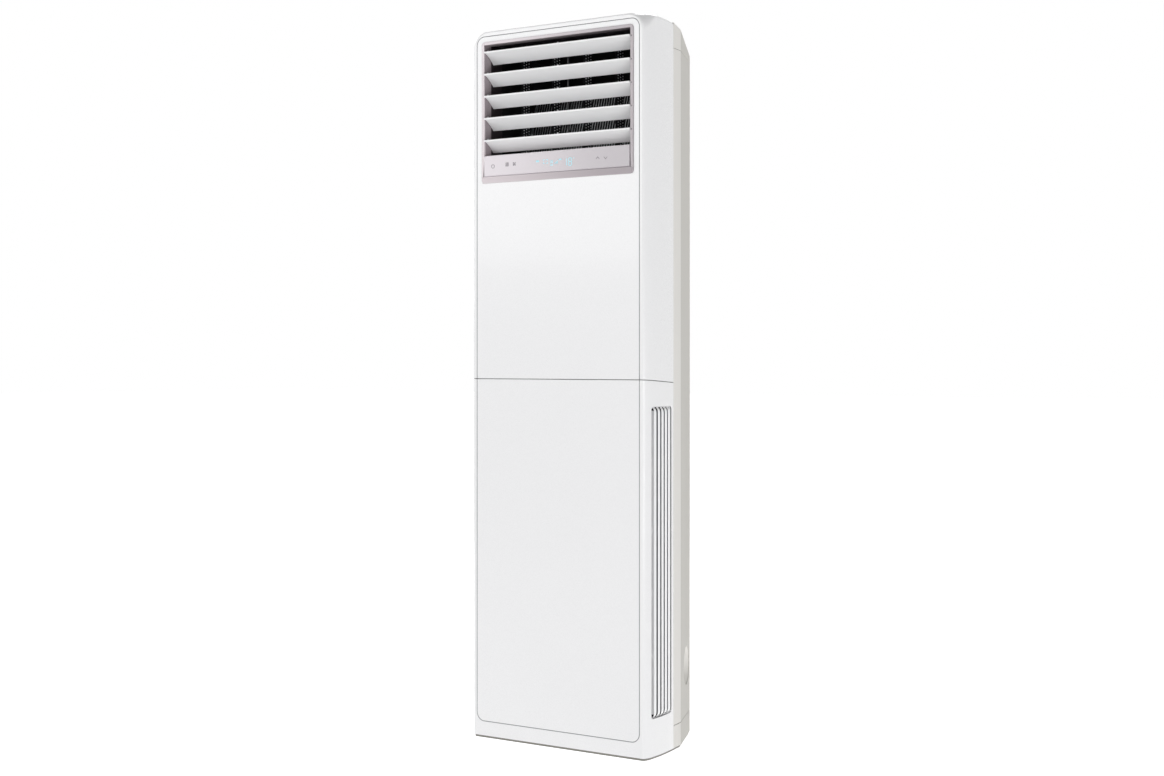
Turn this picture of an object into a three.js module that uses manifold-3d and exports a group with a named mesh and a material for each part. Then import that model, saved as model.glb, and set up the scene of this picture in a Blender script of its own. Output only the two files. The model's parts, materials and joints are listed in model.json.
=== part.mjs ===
// Floor standing air conditioner, built as separate pieces.
// Millimetres, +Z up, front towards -Y. Inside the model Y counts depth behind the front face;
// the group at the end is shifted so that the origin is the middle of the footprint, on the floor.
import * as THREE from 'three';
import { mergeVertices } from 'three/addons/utils/BufferGeometryUtils.js';
import Module from 'manifold-3d';

const wasm = await Module();
wasm.setup();

// ---- driving dimensions -------------------------------------------------------------------
// cabinet
const cabinetHeight = 1850;
const cabinetDepth = 350; // front face to back face
const frontWidth = 525;
const housingDepth = 144; // white front housing
const stripDepth = 47; // flat strip behind the housing
const stripTaper = 6.5; // how far that strip draws in
const chamferInset = 67; // how far the rear chamfer draws in
const panelWall = 2.5;
const frontWall = 3;
const rearWall = 2;
const fit = 0.3; // gap between pieces that seat on each other
const seamGap = 0.8; // open line between neighbouring covers
const groundGap = 6; // covers stop this far above the floor

// side bulge of the front housing, as seen from above
const bulgeHeight = 8.9;
const bulgePeakDepth = 47;
const bulgeRearSpan = 103;
const frontEdgeRadius = 4;
const frontCornerRadius = 45; // top corners of the front outline
const rearCornerRadius = 9; // the same corners where the housing ends
const cornerBlendDepth = 52;

// seams
const seamHeight = 941; // between the upper and lower front panels
const seamDrop = 8; // how far it falls along the side
const baseCoverTop = 63.5;
const capSeamDrop = 69; // rear cap seam, below the top
const capFrontDrop = 4;
const capRearDrop = 54;

// line that frames both front panels
const grooveInset = 9.5;
const grooveWidth = 1.4;
const grooveDepth = 0.9;
const grooveBottom = 43;
const grooveTopDrop = 12;
const grooveRadius = 24;

// outlet
const bezelSideMargin = 27; // front's edge to the bezel
const bezelTopDrop = 27.5;
const bezelHeight = 370.5;
const bezelHalfWidth = frontWidth / 2 - bezelSideMargin;
const bezelTop = cabinetHeight - bezelTopDrop;
const bezelBottom = bezelTop - bezelHeight;
const bezelRadius = 9;
const bezelProud = 2; // in front of the front face
const flangeWidth = 9;
const revealDepth = 28;
const ledgeHeight = 17; // sloped band under the control panel
const controlHeight = 55;
const controlProud = 4;
const controlThickness = 7;
const ductWall = 2.5;
const ductRear = 80;
const ductFloorDrop = 9.5; // duct floor below the louvre opening

// louvres
const louverCount = 5;
const louverPitch = 57.9;
const louverNoseDrop = 17.5; // opening top to the first front edge
const louverNoseProud = 5.5; // in front of the front face
const louverReach = 41; // front edge to rear edge, along the depth
const louverFall = 30; // front edge down to rear edge
const louverSag = 2.2;
const louverThickness = 2.6;
const louverNoseRadius = 2;
const louverEndGap = 1.2;
const pivotDepth = 10;
const pivotRise = 2; // louvre axis above its front edge
const pinRadius = 2;
const pinPlay = 0.4;
const lugThickness = 3;
const linkArmReach = 43;
const linkArmFall = 15.7;
const linkBarWidth = 6;
const linkBarThickness = 3;
const linkPinRadius = 1.6;
const linkBarEnd = 4; // bar beyond its last pin

// vanes
const vaneSpacing = 98;
const vaneCount = 4;
const vaneAxisDepth = 72;
const vaneChord = 38;
const vaneThickness = 2.2;
const vaneEndGap = 5;
const vaneArmReach = 30;
const vaneArmRise = 9; // arm above the duct floor
const stepperRadius = 13;
const stepperLength = 16;
const stepperOffset = 8; // body centre behind the shaft

// side inlet grilles
const grilleFront = 26;
const grilleRear = 130;
const grilleBottom = 100;
const grilleTopDrop = 67; // below the seam
const grilleTop = seamHeight - grilleTopDrop;
const grilleRadius = 10;
const grilleBorder = 6;
const grilleBackThickness = 4;
const slatCount = 5;
const slatWidth = 10.5;
const slatFrontGap = 13;
const slatEndLength = 13; // where the slats curve back
const slatEndSetback = 5;
const slatRibCount = 4;
const slatRibWidth = 6;
const filterThickness = 3.5;
const filterRibCount = 4;

// hand holds
const holdRadius = 51;
const holdHeight = 191.5; // centre above the floor
const holdAlongChamfer = 108;
const holdDepth = 26;
const holdLip = 5;
const holdWall = 2;

// inner frame
const postFront = 139;
const postRear = 173;
const postThickness = 1.5;
const shelfHeight = 925;
const shelfThickness = 2;
const panHeight = 30;

// blower
const wheelRadius = 140;
const wheelWidth = 108;
const wheelBladeCount = 22;
const wheelCentreHeight = 480;
const scrollFront = 158;
const scrollRear = 290;
const scrollInnerRadius = 152;
const scrollPipeGap = 15; // between the scroll and the gas pipe beside it
const scrollWall = 2;
const inletRadius = 112;
const shaftRadius = 6;
const motorRadius = 62;
const motorLength = 42;
const motorFlange = 14;

// evaporator
const coilTopDrop = 160;
const coilHeight = 440;
const coilTop = cabinetHeight - coilTopDrop;
const coilBottom = coilTop - coilHeight;
const coilBottomDepth = 71;
const coilLean = 0.305; // depth gained per unit of height
const coilThickness = 38;
const coilPipeGap = 23; // fins' end to the pipes beside them
const finPitch = 8;
const finHeight = 4;
const coilPlateThickness = 2;
const finThickness = 1.4;
const tubeRadius = 3.5;
const tubeBendRadius = 9.5;
const tubeBendCount = 9;
const trayWall = 3;
const trayDepth = 26;
const linerWall = 6;
const linerDrop = 15; // liner's lower edge, below the duct floor
const linerBendDepth = 24; // behind the strip's rear edge
const linerRearInset = 15;
const linerCornerInset = 9.5;
const linerRoofGap = 13; // between the liner and the rear cap
const spigotRadius = 9;
const spigotBore = 6.5;
const spigotLength = 28;

// pipes
const gasPipeRadius = 8;
const liquidPipeRadius = 5;
const pipeExitHeight = 112;
const pipeExitX = 112;
const pipeExitRadius = 32;
const pipeWallGap = 30.5; // between the side wall and the middle of the falling pipes
const pipeDropDepth = 200;
const pipeSpacing = 24;
const pipeEndInset = 24;

// electrical box
const boxWidth = 180;
const boxDepth = 84;
const boxHeight = 96;
const coverThickness = 1.5;

// ---- materials ----------------------------------------------------------------------------
function material(color, roughness, metalness = 0) {
  return new THREE.MeshStandardMaterial({ color, roughness, metalness });
}
const whitePlastic = material(0xf2f2f2, 0.35);
const rearPlastic = material(0xd6d4ce, 0.55);
const trimPlastic = material(0xd6cacd, 0.25);
const darkDuct = material(0x3b3336, 0.6);
const blackFoam = material(0x0c0c0d, 0.95);
const darkMetal = material(0x5f5d58, 0.5, 0.4);
const galvanised = material(0xb4b8ba, 0.45, 0.8);
const greyMesh = material(0x8a8b90, 0.8);
const blackPlastic = material(0x1a1a1c, 0.5);
const aluminium = material(0xc3c6c8, 0.4, 0.9);
const copper = material(0xb87348, 0.35, 0.9);
const brass = material(0xc2a354, 0.35, 0.9);
const boardGreen = material(0x2c6b43, 0.6);
const rubber = material(0x232324, 0.9);

// ---- solids: closed meshes joined and cut ---------------------------------------------------
function solidOf(geometry) {
  const bare = geometry.clone();
  for (const name of Object.keys(bare.attributes)) {
    if (name !== 'position') bare.deleteAttribute(name);
  }
  const merged = mergeVertices(bare, 1e-4);
  const vertProperties = new Float32Array(merged.attributes.position.array);
  const triVerts = new Uint32Array(merged.index.array);
  return new wasm.Manifold(new wasm.Mesh({ numProp: 3, vertProperties, triVerts }));
}

function geometryOf(solid) {
  const mesh = solid.getMesh();
  const geometry = new THREE.BufferGeometry();
  geometry.setAttribute('position', new THREE.BufferAttribute(mesh.vertProperties, 3));
  geometry.setIndex(new THREE.BufferAttribute(mesh.triVerts, 1));
  geometry.computeVertexNormals();
  return geometry;
}

const union = (solids) => solids.reduce((sum, solid) => sum.add(solid));
const at = (x, y) => new THREE.Vector2(x, y);

function block(x0, x1, y0, y1, z0, z1) {
  const geometry = new THREE.BoxGeometry(x1 - x0, y1 - y0, z1 - z0);
  geometry.translate((x0 + x1) / 2, (y0 + y1) / 2, (z0 + z1) / 2);
  return solidOf(geometry);
}

function prism(shape, length, basis, curveSegments = 5) {
  const geometry = new THREE.ExtrudeGeometry(shape, { depth: length, bevelEnabled: false, curveSegments });
  geometry.applyMatrix4(basis);
  return solidOf(geometry);
}

// Outline in X and Y, raised from z0 to z1.
function uprightPrism(shape, z0, z1) {
  return prism(shape, z1 - z0, new THREE.Matrix4().makeTranslation(0, 0, z0));
}

// Outline in X and Z, running back from y0 to y1.
function depthPrism(shape, y0, y1, curveSegments = 5) {
  const basis = new THREE.Matrix4().makeRotationX(Math.PI / 2).setPosition(0, y1, 0);
  return prism(shape, y1 - y0, basis, curveSegments);
}

// Outline in Y and Z, running across from x0 to x1.
function acrossPrism(shape, x0, x1, curveSegments = 5) {
  const basis = new THREE.Matrix4().makeBasis(
    new THREE.Vector3(0, 1, 0), new THREE.Vector3(0, 0, 1), new THREE.Vector3(1, 0, 0),
  ).setPosition(x0, 0, 0);
  return prism(shape, x1 - x0, basis, curveSegments);
}

// Cylinder between two points that lie along one axis.
function rod(radius, from, to, sides = 16) {
  const start = new THREE.Vector3(...from);
  const end = new THREE.Vector3(...to);
  const run = end.clone().sub(start);
  const geometry = new THREE.CylinderGeometry(radius, radius, run.length(), sides);
  const turn = new THREE.Quaternion().setFromUnitVectors(new THREE.Vector3(0, 1, 0), run.clone().normalize());
  geometry.applyQuaternion(turn);
  geometry.translate(...start.add(end).multiplyScalar(0.5).toArray());
  return solidOf(geometry);
}

function roundedRectangle(left, bottom, right, top, radius) {
  const shape = new THREE.Shape();
  shape.moveTo(left + radius, bottom);
  shape.absarc(right - radius, bottom + radius, radius, -Math.PI / 2, 0);
  shape.absarc(right - radius, top - radius, radius, 0, Math.PI / 2);
  shape.absarc(left + radius, top - radius, radius, Math.PI / 2, Math.PI);
  shape.absarc(left + radius, bottom + radius, radius, Math.PI, Math.PI * 1.5);
  return shape;
}

// Moves each point of a path sideways, to its left, with mitred corners.
function offsetPath(path, distance, closed = false) {
  const count = path.length;
  return path.map((corner, i) => {
    const before = closed || i > 0 ? path[(i + count - 1) % count] : null;
    const after = closed || i < count - 1 ? path[(i + 1) % count] : null;
    const arriving = before ? corner.clone().sub(before).normalize() : null;
    const leaving = after ? after.clone().sub(corner).normalize() : arriving;
    const along = (arriving ?? leaving).clone().add(leaving).normalize();
    const normal = at(-along.y, along.x);
    const reach = distance / normal.dot(at(-leaving.y, leaving.x));
    return corner.clone().addScaledVector(normal, reach);
  });
}

// Closed outline of a sheet that follows a path, its thickness to the path's left.
function sheetOutline(path, thickness) {
  return new THREE.Shape([...path, ...offsetPath(path, thickness).reverse()]);
}

// Skin through outlines of equal point count, each in X and Z at its own depth.
function loft(sections) {
  const count = sections[0].outline.length;
  const positions = sections.flatMap(({ depth, outline }) => outline.flatMap((p) => [p.x, depth, p.y]));
  const index = [];
  for (let s = 0; s + 1 < sections.length; s += 1) {
    for (let i = 0; i < count; i += 1) {
      const next = (i + 1) % count;
      const front = s * count;
      const rear = front + count;
      index.push(front + i, rear + i, rear + next, front + i, rear + next, front + next);
    }
  }
  const last = (sections.length - 1) * count;
  for (let i = 1; i + 1 < count; i += 1) {
    index.push(0, i, i + 1, last, last + i + 1, last + i);
  }
  const geometry = new THREE.BufferGeometry();
  geometry.setAttribute('position', new THREE.Float32BufferAttribute(positions, 3));
  geometry.setIndex(index);
  return solidOf(geometry);
}

const group = new THREE.Group();

function addPart(name, solid, look) {
  const mesh = new THREE.Mesh(geometryOf(solid), look);
  mesh.name = name;
  group.add(mesh);
  return mesh;
}

const mirrored = (solid) => solid.mirror([1, 0, 0]);

// ---- outer form -----------------------------------------------------------------------------
function bulgeAt(depth) {
  const ahead = depth < bulgePeakDepth;
  const span = ahead ? bulgePeakDepth : bulgeRearSpan;
  const power = ahead ? 4 : 1.8;
  return bulgeHeight * (1 - (Math.abs(depth - bulgePeakDepth) / span) ** power);
}

const sideAt = (depth) => frontWidth / 2 + bulgeAt(depth);
const topAt = (depth) => cabinetHeight - capFrontDrop * (depth / housingDepth) ** 2;

function cornerRadiusAt(depth) {
  const blend = THREE.MathUtils.smoothstep(depth, 0, cornerBlendDepth);
  return THREE.MathUtils.lerp(frontCornerRadius, rearCornerRadius, blend);
}

// Round over of the front edge: how far the outline draws in at a depth.
function edgeInset(depth) {
  const ahead = Math.max(frontEdgeRadius - depth, 0);
  return frontEdgeRadius - Math.sqrt(frontEdgeRadius ** 2 - ahead ** 2);
}

function housingOutline(depth, inset, bottom) {
  const half = sideAt(depth) - edgeInset(depth) - inset;
  const top = topAt(depth) - edgeInset(depth) - inset;
  const radius = Math.max(cornerRadiusAt(depth) - inset, 2);
  const steps = 5;
  const outline = [at(-half, bottom), at(half, bottom)];
  for (const side of [1, -1]) {
    for (let i = 0; i <= steps; i += 1) {
      const turn = (side > 0 ? i : steps - i) * (Math.PI / 2 / steps);
      const reach = half - radius + radius * Math.cos(turn);
      outline.push(at(side * reach, top - radius + radius * Math.sin(turn)));
    }
  }
  return outline;
}

const housingDepths = [0, 0.5, 1.6, frontEdgeRadius, 14, 24, 34, bulgePeakDepth, 75, 104, 124, housingDepth];
const housingOuter = loft(housingDepths.map((depth) => (
  { depth, outline: housingOutline(depth, 0, groundGap) })));
const housingInnerDepths = [frontWall, 14, 26, bulgePeakDepth, 75, 104, 124, housingDepth + 1];
const housingInner = loft(housingInnerDepths.map((depth) => (
  { depth, outline: housingOutline(Math.min(depth, housingDepth), panelWall, groundGap - 1) })));
const housingShell = housingOuter.subtract(housingInner);

// Plan of the whole cabinet, anticlockwise from above, drawn in by a clearance.
const rearStart = housingDepth + seamGap;
const stripFrontX = sideAt(housingDepth) - 0.4;
const stripRearX = stripFrontX - stripTaper;
const stripRearDepth = housingDepth + stripDepth;
const backHalfWidth = stripRearX - chamferInset;
const pipeDropX = stripRearX - pipeWallGap;
const scrollOuterRadius = pipeDropX - gasPipeRadius - scrollPipeGap;
const coilHalfWidth = pipeDropX - coilPipeGap;

const rearSidePath = [
  at(stripFrontX, rearStart), at(stripRearX, stripRearDepth), at(backHalfWidth, cabinetDepth),
];
const housingSidePath = [frontEdgeRadius, 14, 28, 47, 75, 104, 128].map((depth) => at(sideAt(depth), depth));
const rightPlan = [at(frontWidth / 2 - frontEdgeRadius, 0), ...housingSidePath, ...rearSidePath];
const leftPlan = rightPlan.map((p) => at(-p.x, p.y)).reverse();
const insetPlan = (inset) => new THREE.Shape(offsetPath([...rightPlan, ...leftPlan], inset, true));

// ---- front panels -----------------------------------------------------------------------------
const seamAt = (depth) => seamHeight - seamDrop * (depth / housingDepth);
const beyond = 20; // cutting bodies run this far past what they cut

function seamCut(above) {
  const edge = above ? seamGap / 2 : -seamGap / 2;
  const end = above ? cabinetHeight + beyond : -beyond;
  const front = at(-beyond, seamAt(-beyond) + edge);
  const rear = at(housingDepth + beyond, seamAt(housingDepth + beyond) + edge);
  const outline = [front, rear, at(rear.x, end), at(front.x, end)];
  return acrossPrism(new THREE.Shape(outline), -frontWidth, frontWidth);
}

function grooveRing() {
  const half = frontWidth / 2 - grooveInset;
  const top = cabinetHeight - grooveTopDrop;
  const ring = roundedRectangle(-half, grooveBottom, half, top, grooveRadius);
  ring.holes.push(roundedRectangle(
    -half + grooveWidth, grooveBottom + grooveWidth, half - grooveWidth, top - grooveWidth,
    grooveRadius - grooveWidth,
  ));
  return depthPrism(ring, -1, grooveDepth, 6);
}

const plugClearance = 0.5;
const plugSideInset = 3.8; // the plug's outline inside the bezel's
const plugEndInset = 3.5;
const plugHalfWidth = bezelHalfWidth - plugSideInset;
const plugBottom = bezelBottom + plugEndInset;
const plugTop = bezelTop - plugEndInset;
const plugRadius = bezelRadius - 3;

function plugShape(clearance) {
  return roundedRectangle(
    -plugHalfWidth - clearance, plugBottom - clearance, plugHalfWidth + clearance, plugTop + clearance,
    plugRadius,
  );
}

const grooved = housingShell.subtract(grooveRing());
const outletCut = depthPrism(plugShape(plugClearance), -beyond, frontWall + beyond);
addPart('front_panel_upper', grooved.intersect(seamCut(true)).subtract(outletCut), whitePlastic);

const grilleShape = (border) => roundedRectangle(
  grilleFront - border, grilleBottom - border, grilleRear + border, grilleTop + border, grilleRadius + border,
);
const grilleCuts = acrossPrism(grilleShape(0), -frontWidth, frontWidth);
addPart('front_panel_lower', grooved.intersect(seamCut(false)).subtract(grilleCuts), whitePlastic);

// ---- side grilles and filters -------------------------------------------------------------------
const grillePlane = sideAt(grilleRear + grilleBorder) - panelWall - fit; // outer face of the frame
const grilleBack = grillePlane - grilleBackThickness;
const slatGap = (grilleRear - grilleFront - slatFrontGap - slatCount * slatWidth) / slatCount;

// One slat: proud over its length, curving back to the frame at both ends.
function slat(front) {
  const face = sideAt(front + slatWidth / 2);
  const outline = new THREE.Shape();
  const low = grilleBottom + 1;
  const high = grilleTop - 1;
  outline.moveTo(grilleBack, low);
  outline.lineTo(face - slatEndSetback, low);
  outline.lineTo(face - slatEndSetback, low + 3);
  outline.quadraticCurveTo(face, low + 4, face, low + slatEndLength);
  outline.lineTo(face, high - slatEndLength);
  outline.quadraticCurveTo(face, high - 4, face - slatEndSetback, high - 3);
  outline.lineTo(face - slatEndSetback, high);
  outline.lineTo(grilleBack, high);
  return depthPrism(outline, front, front + slatWidth, 3);
}

function sideGrille() {
  const ring = grilleShape(grilleBorder);
  ring.holes.push(grilleShape(-1));
  const pieces = [acrossPrism(ring, grilleBack, grillePlane, 3)];
  for (let i = 0; i < slatCount; i += 1) {
    pieces.push(slat(grilleFront + slatFrontGap + i * (slatWidth + slatGap)));
  }
  const ribPitch = (grilleTop - grilleBottom) / (slatRibCount + 1);
  for (let i = 1; i <= slatRibCount; i += 1) {
    const middle = grilleBottom + i * ribPitch;
    const low = middle - slatRibWidth / 2;
    pieces.push(block(grilleBack, grillePlane, grilleFront, grilleRear, low, low + slatRibWidth));
  }
  return union(pieces);
}

function airFilter() {
  const outer = grilleBack - fit;
  const inner = outer - filterThickness;
  const mesh = block(inner + 1, outer - 1, grilleFront, grilleRear, grilleBottom, grilleTop);
  const ring = grilleShape(0);
  ring.holes.push(grilleShape(-5));
  const sheet = mesh.intersect(acrossPrism(grilleShape(-2), 0, frontWidth, 3));
  const pieces = [sheet, acrossPrism(ring, inner, outer, 3)];
  const ribPitch = (grilleTop - grilleBottom) / (filterRibCount + 1);
  for (let i = 1; i <= filterRibCount; i += 1) {
    const middle = grilleBottom + i * ribPitch;
    pieces.push(block(inner, outer, grilleFront + 1, grilleRear - 1, middle - 2, middle + 2));
  }
  return union(pieces);
}

const rightGrille = sideGrille();
addPart('side_grille_right', rightGrille, whitePlastic);
addPart('side_grille_left', mirrored(rightGrille), whitePlastic);
const rightFilter = airFilter();
addPart('air_filter_right', rightFilter, greyMesh);
addPart('air_filter_left', mirrored(rightFilter), greyMesh);

// ---- rear cabinet ---------------------------------------------------------------------------
const capSeamHeight = cabinetHeight - capSeamDrop;
const backInner = cabinetDepth - rearWall;
const chamferRun = rearSidePath[2].clone().sub(rearSidePath[1]).normalize();
const holdCentre = rearSidePath[1].clone().addScaledVector(chamferRun, holdAlongChamfer);
const chamferNormal = at(chamferRun.y, -chamferRun.x); // outward, on the right side
const flangeReach = 14;

// Places a lathe, drawn round +Y, with that axis along the chamfer's inward normal.
function lathedInHold(profile) {
  const geometry = new THREE.LatheGeometry(profile, 20);
  const inward = new THREE.Vector3(-chamferNormal.x, -chamferNormal.y, 0);
  geometry.applyQuaternion(new THREE.Quaternion().setFromUnitVectors(new THREE.Vector3(0, 1, 0), inward));
  geometry.translate(holdCentre.x, holdCentre.y, holdHeight);
  return solidOf(geometry);
}

function holdCutter(radius) {
  return lathedInHold([at(0, -beyond), at(radius, -beyond), at(radius, beyond), at(0, beyond)]);
}

// Dished cup with a flange that lies against the inside of the wall.
function holdCup() {
  const seat = rearWall + fit;
  const steps = 4;
  const inner = [];
  const outer = [];
  for (let i = 0; i <= steps; i += 1) {
    const turn = (i / steps) * (Math.PI / 2);
    const drop = Math.sin(turn) ** 0.7;
    inner.push(at(holdRadius * Math.cos(turn), seat + (holdDepth - seat) * drop));
    outer.push(at((holdRadius + holdWall) * Math.cos(turn), seat + holdWall + (holdDepth - seat) * drop));
  }
  inner[steps].x = 0;
  outer[steps].x = 0;
  const flange = [at(holdRadius + holdLip, seat + holdWall), at(holdRadius + holdLip, seat)];
  return lathedInHold([...outer.reverse(), ...flange, ...inner].reverse());
}

function rearSide() {
  const corner = rearSidePath[2].clone().addScaledVector(chamferRun, -(rearWall + fit) / chamferRun.y);
  const end = at(corner.x - flangeReach, corner.y);
  const outline = sheetOutline([rearSidePath[0], rearSidePath[1], corner, end], rearWall);
  const wall = uprightPrism(outline, baseCoverTop + seamGap / 2, capSeamHeight - seamGap / 2);
  return wall.subtract(holdCutter(holdRadius));
}

const rightSide = rearSide();
addPart('rear_side_right', rightSide, rearPlastic);
addPart('rear_side_left', mirrored(rightSide), rearPlastic);
const rightCup = holdCup();
addPart('hand_hold_cup_right', rightCup, rearPlastic);
addPart('hand_hold_cup_left', mirrored(rightCup), rearPlastic);

const backPlate = block(
  -backHalfWidth, backHalfWidth, backInner, cabinetDepth,
  baseCoverTop + seamGap / 2, capSeamHeight - seamGap / 2,
);
const pipeExit = rod(
  pipeExitRadius, [pipeExitX, backInner - beyond, pipeExitHeight],
  [pipeExitX, cabinetDepth + beyond, pipeExitHeight], 24,
);
addPart('back_panel', backPlate.subtract(pipeExit), rearPlastic);

function rearWrap(inset) {
  const path = offsetPath(rearSidePath, inset);
  return new THREE.Shape([...path, ...path.map((p) => at(-p.x, p.y)).reverse()]);
}

const rearWrapPath = [...rearSidePath, ...rearSidePath.map((p) => at(-p.x, p.y)).reverse()];
addPart('rear_base_cover', uprightPrism(
  sheetOutline(rearWrapPath, rearWall), groundGap, baseCoverTop - seamGap / 2,
), rearPlastic);

// Rear cap: a roof that falls towards the back, open below and in front. Its hollow runs out
// through the front end, so the front end stays open.
const capFrontCut = 2;

function underRoof(drop) {
  const roofAt = (depth) => {
    const share = (depth - housingDepth) / (cabinetDepth - housingDepth);
    return cabinetHeight - THREE.MathUtils.lerp(capFrontDrop, capRearDrop, share) - drop;
  };
  const front = rearStart - 1;
  const rear = cabinetDepth + 1;
  const low = capSeamHeight - beyond;
  return acrossPrism(new THREE.Shape([
    at(front, low), at(rear, low), at(rear, roofAt(rear)), at(front, roofAt(front)),
  ]), -frontWidth, frontWidth);
}
const capOuter = uprightPrism(rearWrap(0), capSeamHeight + seamGap / 2, cabinetHeight + beyond);
const capInnerPlan = offsetPath(rearSidePath, rearWall);
capInnerPlan[0].y -= capFrontCut;
capInnerPlan[2] = capInnerPlan[2].clone().addScaledVector(chamferRun, -rearWall);
const capInnerShape = new THREE.Shape([...capInnerPlan, ...capInnerPlan.map((p) => at(-p.x, p.y)).reverse()]);
const capInner = uprightPrism(capInnerShape, capSeamHeight - 1, cabinetHeight + beyond);
const capHollow = capInner.intersect(underRoof(rearWall));
addPart('rear_top_cap', capOuter.intersect(underRoof(0)).subtract(capHollow), rearPlastic);

const grommetLip = 4;
const grommetProud = 3;
const grommetFlange = 3;
const grommetRearLip = 2;
const grommetGroove = rearWall + 2 * fit;
addPart('pipe_grommet', (() => {
  const bore = pipeExitRadius - grommetLip;
  const neck = pipeExitRadius - fit;
  const rim = pipeExitRadius + grommetFlange;
  const profile = [
    at(bore, -grommetProud), at(rim, -grommetProud), at(rim, -fit), at(neck, -fit),
    at(neck, grommetGroove - fit), at(rim, grommetGroove - fit), at(rim, grommetGroove + grommetRearLip),
    at(bore, grommetGroove + grommetRearLip), at(bore, -grommetProud),
  ];
  const geometry = new THREE.LatheGeometry(profile, 20);
  geometry.rotateX(Math.PI);
  geometry.translate(pipeExitX, cabinetDepth, pipeExitHeight);
  return solidOf(geometry);
})(), rubber);

// ---- base and inner frame ---------------------------------------------------------------------
const panInset = panelWall + 0.7;
const panRim = 2;
addPart('base_pan', uprightPrism(insetPlan(panInset), 0, panHeight).subtract(
  uprightPrism(insetPlan(panInset + panRim), panRim, panHeight + 1),
), darkMetal);

const postTop = capSeamHeight - 30;
const postRearShare = (postRear - rearStart) / (stripRearDepth - rearStart);
const postRearX = THREE.MathUtils.lerp(stripFrontX, stripRearX, postRearShare) - rearWall - fit;
function framePost() {
  const path = [
    at(sideAt(postFront) - panelWall - fit, postFront),
    at(stripFrontX - rearWall - fit, rearStart),
    at(postRearX, postRear),
  ];
  return uprightPrism(sheetOutline(path, postThickness), panHeight + fit, postTop);
}
const rightPost = framePost();
addPart('frame_post_right', rightPost, galvanised);
addPart('frame_post_left', mirrored(rightPost), galvanised);

const shelfHalf = postRearX - postThickness - fit;
const scrollInnerFront = scrollFront + scrollWall;
const scrollInnerRear = scrollRear - scrollWall;

// ---- blower -------------------------------------------------------------------------------------
const diffuserLeft = -40;

// Spiral wall and the throat that carries the air up to the shelf, drawn inwards by a clearance.
function scrollOutline(inset, top) {
  const points = [];
  const steps = 22;
  const start = THREE.MathUtils.degToRad(66);
  const sweep = THREE.MathUtils.degToRad(294);
  for (let i = 0; i <= steps; i += 1) {
    const share = i / steps;
    const radius = THREE.MathUtils.lerp(scrollInnerRadius, scrollOuterRadius, share) - inset;
    const turn = start + sweep * share;
    points.push(at(radius * Math.cos(turn), wheelCentreHeight + radius * Math.sin(turn)));
  }
  points.push(at(scrollOuterRadius - inset, top), at(diffuserLeft + inset, top));
  return new THREE.Shape(points);
}

const wheelAxis = (y) => [0, y, wheelCentreHeight];
const throatTop = shelfHeight - fit;
const scrollSolid = depthPrism(scrollOutline(0, throatTop), scrollFront, scrollRear);
const scrollHollow = depthPrism(scrollOutline(scrollWall, throatTop + 5), scrollInnerFront, scrollInnerRear);
const inletHole = rod(inletRadius, wheelAxis(scrollFront - 5), wheelAxis(scrollInnerFront + 1), 32);
const shaftHole = rod(motorRadius * 0.3, wheelAxis(scrollInnerRear - 1), wheelAxis(scrollRear + 5), 20);
const scrollCuts = union([scrollHollow, inletHole, shaftHole]);
addPart('blower_housing', scrollSolid.subtract(scrollCuts), galvanised);

const shelfPlate = uprightPrism(insetPlan(panelWall + 0.9), shelfHeight, shelfHeight + shelfThickness)
  .intersect(block(-shelfHalf, shelfHalf, 0, cabinetDepth - flangeReach, shelfHeight - 1, shelfHeight + 5));
const throatOpening = block(
  diffuserLeft + scrollWall, scrollOuterRadius - scrollWall, scrollInnerFront, scrollInnerRear,
  shelfHeight - 5, shelfHeight + 10,
);
const pipeSlot = block(
  pipeDropX - gasPipeRadius - 4, pipeDropX + 2 * beyond, pipeDropDepth - liquidPipeRadius - 4,
  pipeDropDepth + pipeSpacing + gasPipeRadius + 4, shelfHeight - 5, shelfHeight + 10,
);
addPart('partition_shelf', shelfPlate.subtract(throatOpening).subtract(pipeSlot), galvanised);

const inletStep = 6; // throat inside the housing's hole
const inletFlare = 14;
const wheelGap = 12; // housing's front wall to the wheel

function latheAlongDepth(profile, y, sides = 24) {
  const geometry = new THREE.LatheGeometry(profile, sides);
  geometry.translate(0, y, wheelCentreHeight);
  return solidOf(geometry);
}

// Bell mouth in front of the wheel: flared lip, throat and a seat on the housing.
addPart('inlet_ring', (() => {
  const throat = inletRadius - inletStep;
  const seatEdge = throat + 2.5 * inletStep;
  const lipEdge = throat + 1.9 * inletFlare;
  const profile = [
    at(throat, wheelGap), at(throat, 2), at(throat + inletStep / 2, -inletFlare / 2),
    at(throat + 2 * inletStep, -inletFlare), at(lipEdge, -inletFlare), at(lipEdge, 2 - inletFlare),
    at(seatEdge, 4 - inletFlare), at(seatEdge, -2 * fit), at(throat + inletStep - 2, -2 * fit),
    at(throat + 2, wheelGap), at(throat, wheelGap),
  ];
  return latheAlongDepth(profile, scrollFront);
})(), blackPlastic);

const wheelFront = scrollInnerFront + wheelGap;
const wheelRear = wheelFront + wheelWidth;
const bladeInner = wheelRadius - 24;
const bladeSweep = 14;
const bladeThickness = 1.4;

function wheelBlade(turn) {
  const tip = at(wheelRadius - 2, bladeSweep);
  const curve = new THREE.QuadraticBezierCurve(at(bladeInner, 0), at(bladeInner + 16, 2), tip);
  const outline = sheetOutline(curve.getPoints(2), bladeThickness);
  const blade = depthPrism(outline, wheelFront + 1, wheelRear - 1);
  return blade.rotate([0, turn, 0]);
}

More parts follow.
